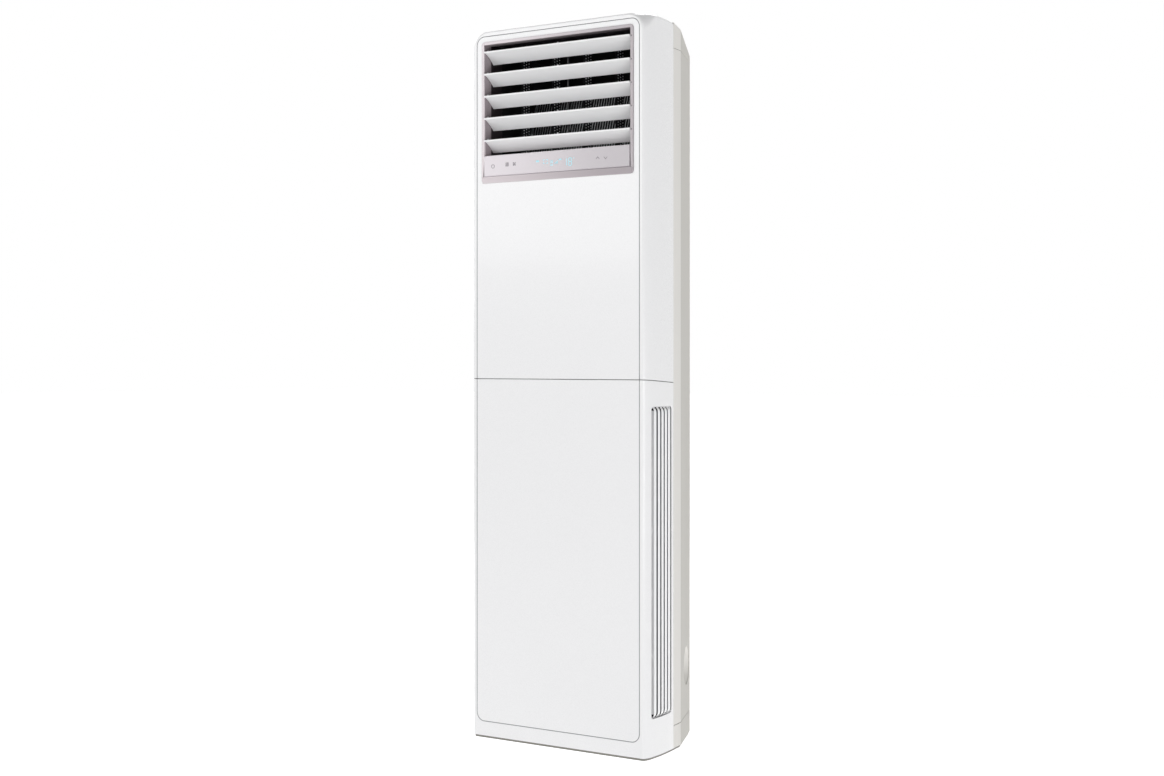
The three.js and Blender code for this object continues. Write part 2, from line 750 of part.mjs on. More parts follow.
function blowerWheel() {
  const backDisc = rod(wheelRadius, [0, wheelRear - 3, 0], [0, wheelRear, 0], 32);
  const hub = rod(24, [0, wheelRear - 34, 0], [0, wheelRear, 0], 20);
  const frontRing = rod(wheelRadius, [0, wheelFront, 0], [0, wheelFront + 5, 0], 32)
    .subtract(rod(bladeInner, [0, wheelFront - 1, 0], [0, wheelFront + 6, 0], 32));
  const blades = [];
  for (let i = 0; i < wheelBladeCount; i += 1) blades.push(wheelBlade((i * 360) / wheelBladeCount));
  const bore = rod(shaftRadius + fit, [0, wheelRear - 40, 0], [0, wheelRear + 5, 0]);
  return union([backDisc, hub, frontRing, ...blades]).subtract(bore).translate([0, 0, wheelCentreHeight]);
}
addPart('blower_wheel', blowerWheel(), blackPlastic);

const motorFront = scrollRear + fit;
const shaftRear = motorFront + motorLength * 0.6;
addPart('motor_shaft', rod(shaftRadius, wheelAxis(wheelRear - 38), wheelAxis(shaftRear)), galvanised);
const motorBody = union([
  rod(motorRadius, wheelAxis(motorFront + 3), wheelAxis(motorFront + motorLength), 24),
  rod(motorRadius + motorFlange, wheelAxis(motorFront), wheelAxis(motorFront + 4), 24),
]);
addPart('blower_motor', motorBody.subtract(
  rod(shaftRadius + 0.4, wheelAxis(motorFront - 1), wheelAxis(shaftRear + 1)),
), darkMetal);

// ---- outlet bezel, duct and control panel -------------------------------------------------------
const openingHalf = bezelHalfWidth - flangeWidth;
const openingTop = bezelTop - flangeWidth + 1;
const controlBottom = bezelBottom + ledgeHeight;
const controlTop = controlBottom + controlHeight;
const openingBottom = controlTop + 0.5;
const controlBack = controlThickness - controlProud + fit;
const pocketFloor = 5;
const pocketRear = controlBack + pocketFloor;
const sillWall = 4; // under the louvre opening

function louverAxis(i) {
  return { y: pivotDepth, z: openingTop - louverNoseDrop - i * louverPitch + pivotRise };
}

function outletBezel() {
  const face = roundedRectangle(-bezelHalfWidth, bezelBottom, bezelHalfWidth, bezelTop, bezelRadius);
  const flange = depthPrism(face, -bezelProud, -fit);
  const plug = depthPrism(plugShape(0), -fit - 0.1, revealDepth);
  const ledge = acrossPrism(new THREE.Shape([
    at(-bezelProud + 0.2, bezelBottom + 1.5), at(0, bezelBottom + 1.5), at(0, controlBottom - fit),
    at(-controlProud - 0.3, controlBottom - fit), at(-controlProud - 0.3, controlBottom - 2),
  ]), -bezelHalfWidth + 4, bezelHalfWidth - 4);
  const opening = block(-openingHalf, openingHalf, -beyond, revealDepth + 5, openingBottom, openingTop);
  const pocket = block(-openingHalf, openingHalf, -beyond, controlBack, controlBottom, openingBottom + 1);
  const behindPanel = block(
    -openingHalf, openingHalf, pocketRear, revealDepth + 5,
    plugBottom + pocketFloor, openingBottom - sillWall,
  );
  const holes = [];
  for (let i = 0; i < louverCount; i += 1) {
    const { y, z } = louverAxis(i);
    holes.push(rod(pinRadius + pinPlay, [-bezelHalfWidth - 5, y, z], [bezelHalfWidth + 5, y, z], 8));
  }
  return union([flange, plug, ledge]).subtract(union([opening, pocket, behindPanel, ...holes]));
}
addPart('outlet_bezel', outletBezel(), trimPlastic);

// Glossy strip that carries the touch keys and the display, its front edges rounded.
function controlPanel() {
  const half = openingHalf - 0.9;
  const low = controlBottom + fit;
  const section = new THREE.Shape();
  const back = controlThickness - controlProud;
  const round = 2.4;
  section.moveTo(back, low);
  section.lineTo(back, controlTop);
  section.lineTo(-controlProud + round, controlTop);
  section.absarc(-controlProud + round, controlTop - round, round, Math.PI / 2, Math.PI);
  section.absarc(-controlProud + round, low + round, round, Math.PI, Math.PI * 1.5);
  return acrossPrism(section, -half, half);
}
addPart('control_panel', controlPanel(), trimPlastic);
const boardEndGap = 22;
const boardHeight = 40;
const boardThickness = 1.7;
addPart('control_board', block(
  -openingHalf + boardEndGap, openingHalf - boardEndGap, pocketRear + fit, pocketRear + fit + boardThickness,
  controlTop - 9 - boardHeight, controlTop - 9,
), boardGreen);

const ductHalf = openingHalf + ductWall;
const ductFloor = openingBottom - ductFloorDrop;
const ductCeiling = openingTop + 3.5;
const ductFront = revealDepth + fit;
const vaneX = (i) => (i - (vaneCount - 1) / 2) * vaneSpacing;

function outletDuct() {
  const outer = block(-ductHalf - ductWall, ductHalf + ductWall, ductFront, ductRear,
    ductFloor - ductWall, ductCeiling + ductWall);
  const inner = block(-ductHalf, ductHalf, ductFront - 1, ductRear + 1, ductFloor, ductCeiling);
  const holes = [];
  for (let i = 0; i < vaneCount; i += 1) {
    const low = ductFloor - ductWall - 1;
    const high = ductCeiling + ductWall + 1;
    holes.push(rod(pinRadius + pinPlay, [vaneX(i), vaneAxisDepth, low], [vaneX(i), vaneAxisDepth, high], 8));
  }
  return outer.subtract(union([inner, ...holes]));
}
addPart('outlet_duct', outletDuct(), darkDuct);

// ---- louvres -------------------------------------------------------------------------------------
const noseU = -(pivotDepth + louverNoseProud) + louverNoseRadius;
const noseV = -pivotRise - louverNoseRadius;
const tailU = -(pivotDepth + louverNoseProud) + louverReach;
const tailV = -pivotRise - louverFall;
const louverHalf = openingHalf - louverEndGap;

// Section of a blade, its pivot at the origin: bead, hollow blade and a lip along the rear edge.
function louverSection() {
  const middle = at((noseU + tailU) / 2, (noseV + tailV) / 2);
  const across = at(noseV - tailV, tailU - noseU).normalize();
  const control = middle.addScaledVector(across, 2 * louverSag);
  const blade = new THREE.QuadraticBezierCurve(at(noseU, noseV), control, at(tailU, tailV)).getPoints(5);
  return sheetOutline([...blade, at(tailU + 0.6, tailV + 0.9)], louverThickness);
}

function lugOutline(reachesLink) {
  const lug = [at(-7, noseV - 5), at(-3.6, -1), at(-2.5, 2.6), at(0, 3.6), at(2.5, 2.6)];
  const rear = reachesLink
    ? [at(linkArmReach + 1, -linkArmFall + 3.4), at(linkArmReach + 3.4, -linkArmFall),
      at(linkArmReach, -linkArmFall - 3.4), at(tailU - 2, tailV + 3)]
    : [at(7, -13)];
  return new THREE.Shape([...lug, ...rear].reverse());
}

function louver() {
  const blade = acrossPrism(louverSection(), -louverHalf, louverHalf);
  const bead = rod(louverNoseRadius, [-louverHalf, noseU, noseV], [louverHalf, noseU, noseV], 8);
  const pieces = [blade, bead];
  for (const side of [-1, 1]) {
    const edge = side * louverHalf;
    const inner = edge - side * lugThickness;
    pieces.push(acrossPrism(lugOutline(false), Math.min(edge, inner), Math.max(edge, inner)));
    pieces.push(rod(pinRadius, [inner, 0, 0], [side * (plugHalfWidth - 0.7), 0, 0], 8));
  }
  pieces.push(acrossPrism(lugOutline(true), -lugThickness / 2, lugThickness / 2));
  const pinEnd = lugThickness / 2 + 2 * fit + linkBarThickness + 0.5;
  pieces.push(rod(linkPinRadius, [0, linkArmReach, -linkArmFall], [pinEnd, linkArmReach, -linkArmFall], 10));
  return union(pieces);
}

const louverSolid = louver();
for (let i = 0; i < louverCount; i += 1) {
  const { y, z } = louverAxis(i);
  const mesh = addPart(`louver_${i + 1}`, louverSolid, whitePlastic);
  mesh.position.set(0, y, z);
}

const linkDepth = pivotDepth + linkArmReach;
const linkHeight = (i) => louverAxis(i).z - linkArmFall;
addPart('louver_link', (() => {
  const near = lugThickness / 2 + fit;
  const far = near + linkBarThickness;
  const bar = block(near, far, linkDepth - linkBarWidth / 2, linkDepth + linkBarWidth / 2,
    linkHeight(louverCount - 1) - linkBarEnd, linkHeight(0) + linkBarEnd);
  const holes = [];
  for (let i = 0; i < louverCount; i += 1) {
    const z = linkHeight(i);
    holes.push(rod(linkPinRadius + pinPlay, [near - 1, linkDepth, z], [far + 1, linkDepth, z], 8));
  }
  return bar.subtract(union(holes));
})(), blackPlastic);

// ---- vanes ---------------------------------------------------------------------------------------
const vaneBottom = ductFloor + vaneEndGap;
const vaneTop = ductCeiling - vaneEndGap;
const vaneArmZ = ductFloor + vaneArmRise;
const vaneArmThickness = 3;
const vanePinRun = ductWall - 0.3;

// Upright vane, its axis at the origin.
function vane() {
  const half = vaneThickness / 2;
  const section = new THREE.Shape();
  section.moveTo(-half, vaneChord / 2);
  section.lineTo(-half, -vaneChord / 2 + 4);
  section.lineTo(0, -vaneChord / 2);
  section.lineTo(half, -vaneChord / 2 + 4);
  section.lineTo(half, vaneChord / 2);
  const blade = uprightPrism(section, vaneBottom, vaneTop);
  const lowPin = rod(pinRadius, [0, 0, ductFloor - vanePinRun], [0, 0, vaneBottom + 6], 8);
  const highPin = rod(pinRadius, [0, 0, vaneTop - 6], [0, 0, ductCeiling + vanePinRun], 8);
  const arm = block(-3, 3, vaneChord / 2 - 3, vaneArmReach + 3.5, vaneArmZ, vaneArmZ + vaneArmThickness);
  const armPin = rod(linkPinRadius, [0, vaneArmReach, vaneArmZ + 1],
    [0, vaneArmReach, vaneArmZ + vaneArmThickness + fit + linkBarThickness + 0.8], 10);
  return union([blade, lowPin, highPin, arm, armPin]);
}

const vaneSolid = vane();
for (let i = 0; i < vaneCount; i += 1) {
  const mesh = addPart(`vane_${i + 1}`, vaneSolid, blackPlastic);
  mesh.position.set(vaneX(i), vaneAxisDepth, 0);
}

addPart('vane_link', (() => {
  const low = vaneArmZ + vaneArmThickness + fit;
  const high = low + linkBarThickness;
  const depth = vaneAxisDepth + vaneArmReach;
  const bar = block(vaneX(0) - linkBarEnd, vaneX(vaneCount - 1) + linkBarEnd,
    depth - linkBarWidth / 2, depth + linkBarWidth / 2, low, high);
  const holes = [];
  for (let i = 0; i < vaneCount; i += 1) {
    holes.push(rod(linkPinRadius + pinPlay, [vaneX(i), depth, low - 1], [vaneX(i), depth, high + 1], 8));
  }
  return bar.subtract(union(holes));
})(), blackPlastic);

// Small geared motors: a round can beside its own shaft, with two ears.
function stepper() {
  const can = rod(stepperRadius, [0, stepperOffset, 0], [0, stepperOffset, stepperLength], 20);
  const ears = block(-stepperRadius - 6, stepperRadius + 6, stepperOffset - 4, stepperOffset + 4, 0, 1.5);
  return can.add(ears);
}
const louverMotorAxis = louverAxis(Math.floor(louverCount / 2));
const louverMotor = addPart('louver_motor', stepper(), galvanised);
louverMotor.position.set(plugHalfWidth + fit, louverMotorAxis.y, louverMotorAxis.z);
louverMotor.rotation.set(0, Math.PI / 2, 0);
const vaneMotor = addPart('vane_motor', stepper(), galvanised);
vaneMotor.position.set(vaneX(0), vaneAxisDepth, ductCeiling + ductWall + fit);
vaneMotor.rotation.set(0, 0, Math.PI);

// ---- evaporator ----------------------------------------------------------------------------------
const coilDepthAt = (z) => coilBottomDepth + (z - coilBottom) * coilLean;
const finCount = Math.floor((2 * coilHalfWidth) / finPitch);
const finBlockHalf = (finCount * finPitch) / 2;

// Sloping slab with upright fins on the face towards the outlet.
function evaporatorCoil() {
  const front = [];
  for (let i = 0; i < finCount; i += 1) {
    const x = i * finPitch - finBlockHalf;
    const finEnd = x + finThickness;
    front.push(at(x, 0), at(finEnd, 0), at(finEnd, finHeight), at(x + finPitch, finHeight));
  }
  front.push(at(finBlockHalf, 0), at(finBlockHalf + finThickness, 0));
  const rear = [at(finBlockHalf + finThickness, coilThickness), at(-finBlockHalf, coilThickness)];
  const height = coilTop - coilBottom;
  const geometry = new THREE.ExtrudeGeometry(new THREE.Shape([...front, ...rear]), {
    depth: height, bevelEnabled: false,
  });
  geometry.applyMatrix4(new THREE.Matrix4().set(
    1, 0, 0, 0, 0, 1, coilLean, coilBottomDepth, 0, 0, 1, coilBottom, 0, 0, 0, 1,
  ));
  return solidOf(geometry);
}
addPart('evaporator_coil', evaporatorCoil(), aluminium);

// Half circle that leaves an end plate and comes back into it.
class HalfTurn extends THREE.Curve {
  constructor(x, y, z) {
    super();
    Object.assign(this, { x, y, z });
  }

  getPoint(t, target = new THREE.Vector3()) {
    const turn = Math.PI * (t - 0.5);
    return target.set(
      this.x + tubeBendRadius * Math.cos(turn), this.y, this.z + tubeBendRadius * Math.sin(turn));
  }
}

const coilPlateInner = finBlockHalf + finThickness + fit;
const coilPlateOuter = coilPlateInner + coilPlateThickness;
const bendHeight = (i) => coilBottom + ((i + 0.5) * (coilTop - coilBottom)) / tubeBendCount;
const plateMargin = 3;

function coilPlate() {
  const low = coilBottom - plateMargin;
  const high = coilTop + plateMargin;
  const front = (z) => coilDepthAt(z) - plateMargin;
  const rear = (z) => coilDepthAt(z) + coilThickness + plateMargin;
  const corners = [at(front(low), low), at(rear(low), low), at(rear(high), high), at(front(high), high)];
  return acrossPrism(new THREE.Shape(corners), coilPlateInner, coilPlateOuter);
}

// Return bends stand out of the right plate only; the tubes turn inside the fins at the other end.
function returnBend(z) {
  const section = new THREE.EllipseCurve(0, 0, tubeRadius, tubeRadius).getPoints(5).slice(0, 5);
  const path = new HalfTurn(coilPlateOuter - 1, coilDepthAt(z) + coilThickness / 2, z);
  return solidOf(new THREE.ExtrudeGeometry(new THREE.Shape(section), {
    steps: 4, bevelEnabled: false, extrudePath: path,
  }));
}

const bends = Array.from({ length: tubeBendCount }, (_, i) => returnBend(bendHeight(i)));
addPart('coil_plate_right', union([coilPlate(), ...bends]), galvanised);
addPart('coil_plate_left', mirrored(coilPlate()), galvanised);

const trayFloor = coilBottom - plateMargin - fit - trayWall;
const trayFront = coilBottomDepth - 16;
const trayRear = postRear + 12;
const spigotX = 40 - shelfHalf;
const spigotDepth = trayRear - 20;

function drainPan() {
  const tray = block(-shelfHalf, shelfHalf, trayFront, trayRear, trayFloor, trayFloor + trayDepth);
  const hollow = block(
    -shelfHalf + trayWall, shelfHalf - trayWall, trayFront + trayWall, trayRear - trayWall,
    trayFloor + trayWall, trayFloor + trayDepth + 1,
  );
  const spigotAt = (z) => [spigotX, spigotDepth, z];
  const spigot = rod(spigotRadius, spigotAt(trayFloor + 1), spigotAt(trayFloor - spigotLength), 14);
  const boreEnd = trayFloor - spigotLength - 2;
  const bore = rod(spigotBore, spigotAt(trayFloor + trayWall + 1), spigotAt(boreEnd), 14);
  return tray.subtract(hollow).add(spigot).subtract(bore);
}
addPart('drain_pan', drainPan(), blackFoam);

// Black foam that lines the chamber behind the duct: side walls, back wall and a falling roof.
function linerBody(grow, extraFront, low) {
  const innerHalf = ductHalf;
  const bendDepth = stripRearDepth + linerBendDepth;
  const rearDepth = cabinetDepth - linerRearInset;
  const rearHalf = backHalfWidth - linerCornerInset;
  const path = [
    at(innerHalf, ductRear + fit - extraFront), at(innerHalf, bendDepth), at(rearHalf, rearDepth),
    at(-rearHalf, rearDepth), at(-innerHalf, bendDepth), at(-innerHalf, ductRear + fit - extraFront),
  ];
  const roofFront = ductCeiling + grow;
  const roofRear = cabinetHeight - capRearDrop - rearWall - linerRoofGap + grow;
  const plan = uprightPrism(new THREE.Shape(offsetPath(path, -grow)), low, cabinetHeight);
  const roof = acrossPrism(new THREE.Shape([
    at(0, low - 1), at(cabinetDepth, low - 1), at(cabinetDepth, roofRear),
    at(ductRear, roofFront), at(0, roofFront),
  ]), -frontWidth, frontWidth);
  return plan.intersect(roof);
}
const linerBottom = ductFloor - linerDrop;
const linerHollow = linerBody(0, 1, linerBottom - 1);
addPart('foam_liner', linerBody(linerWall, 0, linerBottom).subtract(linerHollow), blackFoam);

// ---- pipes ----------------------------------------------------------------------------------------
// Each pipe leaves the coil's right plate between two bends, drops behind the drain pan, passes the
// shelf beside the blower and turns back to the hole in the rear.
function pipeRun(depth, exitX, row) {
  const coilHeight = (bendHeight(row) + bendHeight(row + 1)) / 2;
  const coilDepth = coilDepthAt(coilHeight) + coilThickness / 2;
  const low = pipeExitHeight - 16;
  return new THREE.CatmullRomCurve3([
    [coilPlateOuter + fit, coilDepth, coilHeight],
    [coilPlateOuter + 5, coilDepth, coilHeight],
    [pipeDropX, coilDepth + 16, coilHeight - 12],
    [pipeDropX, depth, coilHeight - 60],
    [pipeDropX, depth, coilBottom - 120],
    [pipeDropX, depth, (coilBottom + pipeExitHeight) / 2],
    [pipeDropX, depth, pipeExitHeight + 90],
    [pipeDropX - 6, depth, pipeExitHeight + 24],
    [pipeDropX - 40, depth + 8, low],
    [exitX + 24, depth + 36, low],
    [exitX, depth + 70, pipeExitHeight - 2],
    [exitX, cabinetDepth - 66, pipeExitHeight],
    [exitX, cabinetDepth - 46, pipeExitHeight],
    [exitX, cabinetDepth - pipeEndInset, pipeExitHeight],
  ].map((p) => new THREE.Vector3(...p)));
}

function pipe(radius, depth, exitX, row) {
  const ring = new THREE.EllipseCurve(0, 0, radius, radius).getPoints(6).slice(0, 6);
  return solidOf(new THREE.ExtrudeGeometry(new THREE.Shape(ring), {
    steps: 34, bevelEnabled: false, extrudePath: pipeRun(depth, exitX, row),
  }));
}

// Hexagon nut that slides on the pipe's end.
function flareNut(radius, exitX) {
  const rear = cabinetDepth - pipeEndInset;
  const nut = rod(radius * 1.7, [exitX, rear - 20, pipeExitHeight], [exitX, rear + 2, pipeExitHeight], 6);
  return nut.subtract(rod(
    radius + 2 * fit, [exitX, rear - 21, pipeExitHeight], [exitX, rear + 3, pipeExitHeight], 16));
}

const gasExitX = pipeExitX + pipeSpacing / 2;
const liquidExitX = pipeExitX - pipeSpacing / 2;
addPart('gas_pipe', pipe(gasPipeRadius, pipeDropDepth + pipeSpacing, gasExitX, 2), copper);
addPart('liquid_pipe', pipe(liquidPipeRadius, pipeDropDepth, liquidExitX, 1), copper);
addPart('gas_flare_nut', flareNut(gasPipeRadius, gasExitX), brass);
addPart('liquid_flare_nut', flareNut(liquidPipeRadius, liquidExitX), brass);

// ---- electrical box --------------------------------------------------------------------------------
const boxFront = 24;
const boxRight = -30;
const boxFloor = shelfHeight + shelfThickness + fit;
const boxLeft = boxRight - boxWidth;
const boxRear = boxFront + boxDepth;
const boxTop = boxFloor + boxHeight;
const boxWall = 2;
const boxHollow = block(
  boxLeft + boxWall, boxRight - boxWall, boxFront - 1, boxRear - boxWall,
  boxFloor + boxWall, boxTop - boxWall,
);
addPart('electrical_box', block(boxLeft, boxRight, boxFront, boxRear, boxFloor, boxTop)
  .subtract(boxHollow), galvanised);
addPart('electrical_cover', block(
  boxLeft, boxRight, boxFront - fit - coverThickness, boxFront - fit, boxFloor, boxTop,
), galvanised);

// The origin is the middle of the footprint, counting the louvres' front edges and the grommet.
group.position.y = -(cabinetDepth + grommetProud - louverNoseProud) / 2;

export default group;
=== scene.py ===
import json
import math

import bmesh
import bpy
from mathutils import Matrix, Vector


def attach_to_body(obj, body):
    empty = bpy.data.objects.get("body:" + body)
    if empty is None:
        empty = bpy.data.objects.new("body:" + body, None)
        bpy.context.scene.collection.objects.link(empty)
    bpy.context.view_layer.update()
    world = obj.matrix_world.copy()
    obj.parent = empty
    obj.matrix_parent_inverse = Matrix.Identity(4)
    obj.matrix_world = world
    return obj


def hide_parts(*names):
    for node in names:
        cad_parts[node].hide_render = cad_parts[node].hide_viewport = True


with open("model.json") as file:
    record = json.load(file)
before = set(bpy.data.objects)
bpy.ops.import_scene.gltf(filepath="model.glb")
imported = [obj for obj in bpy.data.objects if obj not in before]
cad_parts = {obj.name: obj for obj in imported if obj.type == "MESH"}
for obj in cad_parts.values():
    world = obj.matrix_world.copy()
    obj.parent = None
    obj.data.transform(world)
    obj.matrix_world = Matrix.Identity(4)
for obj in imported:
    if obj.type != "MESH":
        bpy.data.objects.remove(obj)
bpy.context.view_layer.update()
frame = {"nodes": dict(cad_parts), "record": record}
record = frame["record"]
bodyOf = {node: body for body, nodes in record["behaviour"]["bodies"].items() for node in nodes}

mm = 0.001
frontFace = -173.75  # where the front face lies, in mm; depths count back from it
straight = 0.9  # a face looks along an axis where its normal has more than this of it
leaning = 0.3  # and leans towards the axis from here on


def place(x, depth, z):
    return Vector((x * mm, (frontFace + depth) * mm, z * mm))


def newPiece(name, data):
    piece = bpy.data.objects.new(name, data)
    bpy.context.scene.collection.objects.link(piece)
    return piece


def pieceFrom(name, bm, materials):
    mesh = bpy.data.meshes.new(name)
    bm.to_mesh(mesh)
    bm.free()
    for material in materials:
        mesh.materials.append(material)
    return newPiece(name, mesh)


# nodes: each part is a node's kind, alone or with values for its settings and inputs


def setValues(node, values):
    for name, value in values.items():
        if isinstance(name, str) and hasattr(node, name):
            setattr(node, name, value)
        else:
            node.inputs[name].default_value = value


def addNodes(tree, kinds):
    parts = {}
    for name, kind in kinds.items():
        kind, values = (kind, {}) if isinstance(kind, str) else kind
        parts[name] = tree.nodes.new(kind)
        setValues(parts[name], values)
    return parts


def wire(tree, parts, *wires):
    # each wire reads "part.Output > part.Input", where a number counts the sockets
    for text in wires:
        ends = [end.split(".") for end in text.split(" > ")]
        (giver, output), (taker, entry) = [
            (part, int(label) if label.isdigit() else label) for part, label in ends]
        tree.links.new(parts[giver].outputs[output], parts[taker].inputs[entry])


def newTree(kind, name, inputs, outputs):
    # inputs hold each socket's kind and value; a modifier finds its inputs by the identifiers
    tree = bpy.data.node_groups.new(name, kind)
    identifiers = {}
    for label, (sort, value) in inputs.items():
        socket = tree.interface.new_socket(label, in_out="INPUT", socket_type="NodeSocket" + sort)
        if value is not None:
            socket.default_value = value
        identifiers[label] = socket.identifier
    for label, sort in outputs.items():
        tree.interface.new_socket(label, in_out="OUTPUT", socket_type="NodeSocket" + sort)
    return tree, addNodes(tree, {"start": "NodeGroupInput", "end": "NodeGroupOutput"}), identifiers


# camera, floor and light

view = {"spot": (2.5766, -3.85985, 0.9901), "turn": 34.10, "lens": 54.56, "sensor": 36, "shiftY": -0.02406}
lighting = {
    "ambient": 0.19,
    "floorReach": 40,
    "floorTone": 0.80,
    "floorGlow": 0.73,  # a lit floor, which brightens what looks down
    "floorWhite": 0.2,  # added where the camera or a mirror sees the floor
}
lamps = {
    "key": {"spot": (-2.6, -3.1, 2.6), "aim": (0, 0, 1.1), "size": (2.4, 2.4), "power": 45},
    "fill": {"spot": (3.8, -2.3, 0.5), "aim": (0, 0, 0.4), "size": (1.8, 1.0), "power": 49},
    "back": {"spot": (-3.4, 2.9, 2.3), "aim": (0, 0, 1.0), "size": (2.4, 2.4), "power": 62},
    "top": {"spot": (0, 1.9, 3.9), "aim": (0, 0.1, 1.85), "size": (2.0, 1.2), "power": 32},
}

cameraData = bpy.data.cameras.new("camera")
cameraData.lens = view["lens"]
cameraData.sensor_width = view["sensor"]
cameraData.shift_y = view["shiftY"]
camera = newPiece("camera", cameraData)
camera.location = view["spot"]
camera.rotation_euler = (math.radians(90), 0, math.radians(view["turn"]))
bpy.context.scene.camera = camera
bpy.context.scene.view_settings.view_transform = "Standard"


def addLamp(name, lamp):
    data = bpy.data.lights.new(name, "AREA")
    data.shape = "RECTANGLE"
    data.size, data.size_y = lamp["size"]
    data.energy = lamp["power"]
    made = newPiece(name, data)
    made.location = lamp["spot"]
    aim = Vector(lamp["aim"]) - Vector(lamp["spot"])
    made.rotation_euler = aim.to_track_quat("-Z", "Y").to_euler()


def shade(code):
    values = [int(code[i:i + 2], 16) / 255 for i in (1, 3, 5)]
    return (*[v / 12.92 if v <= 0.04045 else ((v + 0.055) / 1.055) ** 2.4 for v in values], 1)


def grey(level):
    return (level, level, level, 1)


def addPlainViewMask(tree):
    # one for rays from the camera, mirrors and glass, so that they see a white studio
    larger = ("ShaderNodeMath", {"operation": "MAXIMUM"})
    parts = addNodes(tree, {"path": "ShaderNodeLightPath", "seen": larger, "mask": larger})
    wire(tree, parts, "path.Is Camera Ray > seen.0", "path.Is Glossy Ray > seen.1", "seen.0 > mask.0",
         "path.Is Transmission Ray > mask.1")
    return parts["mask"]


def buildWorld():
    world = bpy.data.worlds.new("studio")
    bpy.context.scene.world = world
    world.use_nodes = True
    tree = world.node_tree
    parts = addNodes(tree, {
        "white": ("ShaderNodeBackground", {"Color": grey(1)}), "mix": "ShaderNodeMixShader"})
    parts |= {"soft": tree.nodes["Background"], "end": tree.nodes["World Output"],
              "mask": addPlainViewMask(tree)}
    setValues(parts["soft"], {"Color": grey(1), "Strength": lighting["ambient"]})
    wire(tree, parts, "mask.0 > mix.0", "soft.0 > mix.1", "white.0 > mix.2", "mix.0 > end.Surface")


def buildFloor():
    material = bpy.data.materials.new("studioFloor")
    material.use_nodes = True
    tree = material.node_tree
    tree.nodes.clear()
    parts = addNodes(tree, {
        "matt": ("ShaderNodeBsdfDiffuse", {"Color": grey(lighting["floorTone"])}),
        "glow": "ShaderNodeEmission",
        "strength": ("ShaderNodeMath", {"operation": "MULTIPLY_ADD", 1: lighting["floorWhite"],
                                        2: lighting["floorGlow"]}),
        "both": "ShaderNodeAddShader", "end": "ShaderNodeOutputMaterial"})
    parts["mask"] = addPlainViewMask(tree)
    wire(tree, parts, "mask.0 > strength.0", "strength.0 > glow.Strength", "matt.0 > both.0",
         "glow.0 > both.1", "both.0 > end.Surface")
    bm = bmesh.new()
    bmesh.ops.create_grid(bm, x_segments=1, y_segments=1, size=lighting["floorReach"])
    pieceFrom("floor", bm, [material])


for lampName, lamp in lamps.items():
    addLamp(lampName + "Lamp", lamp)
buildWorld()
buildFloor()
print("stage: camera, floor and light")

# shader groups that several finishes share

objectSpot, blendColors = "ShaderNodeTexCoord", ("ShaderNodeMix", {"data_type": "RGBA"})
skinOutputs = {"Color": "Color", "Roughness": "Float", "Height": "Float"}


def shaderGroup(name, inputs, outputs, kinds, *wires):
    tree, parts, _ = newTree("ShaderNodeTree", name, inputs, outputs)
    parts |= addNodes(tree, kinds)
    wire(tree, parts, *wires)
    return tree


groups = {}

# slow change of tone across a moulding, with the fine grain of its tool
groups["moulded"] = shaderGroup("mouldedSkin", {
    "Tone": ("Color", grey(0.8)), "Patch Tone": ("Color", grey(0.7)), "Patch Scale": ("Float", 900.0),
    "Grain Scale": ("Float", 900.0), "Gloss": ("Float", 0.3), "Gloss Change": ("Float", 0.03),
}, skinOutputs, {
    "spot": objectSpot, "patches": ("ShaderNodeTexNoise", {"Detail": 0}), "blend": blendColors,
    "grain": ("ShaderNodeTexNoise", {"Detail": 4, "Roughness": 0.62}),
    "spread": ("ShaderNodeMapRange", {"From Min": 0.2, "From Max": 0.8}),
    "change": ("ShaderNodeMath", {"operation": "MULTIPLY_ADD"}),
}, "spot.Object > patches.Vector", "spot.Object > grain.Vector", "start.Patch Scale > patches.Scale",
    "start.Grain Scale > grain.Scale", "patches.Fac > spread.Value", "spread.Result > blend.Factor",
    "start.Tone > blend.A", "start.Patch Tone > blend.B", "spread.Result > change.0",
    "start.Gloss Change > change.1", "start.Gloss > change.2", "blend.Result > end.Color",
    "change.0 > end.Roughness", "grain.Fac > end.Height")

# pale dust on faces that look up, thicker in patches
groups["dust"] = shaderGroup("settledDust", {
    "Color": ("Color", grey(0.5)), "Dust": ("Color", shade("#c9c6bf")), "Amount": ("Float", 0.2),
    "Scale": ("Float", 30.0),
}, {"Color": "Color"}, {
    "spot": objectSpot, "facing": "ShaderNodeNewGeometry", "split": "ShaderNodeSeparateXYZ",
    "rise": ("ShaderNodeMapRange", {"From Min": 0.15}), "cloud": "ShaderNodeTexNoise", "blend": blendColors,
    "cover": ("ShaderNodeMath", {"operation": "MULTIPLY"}),
    "share": ("ShaderNodeMath", {"operation": "MULTIPLY", "use_clamp": True}),
}, "facing.Normal > split.0", "split.Z > rise.Value", "spot.Object > cloud.Vector",
    "start.Scale > cloud.Scale", "rise.Result > cover.0", "cloud.Fac > cover.1", "cover.0 > share.0",
    "start.Amount > share.1", "share.0 > blend.Factor", "start.Color > blend.A", "start.Dust > blend.B",
    "blend.Result > end.Color")

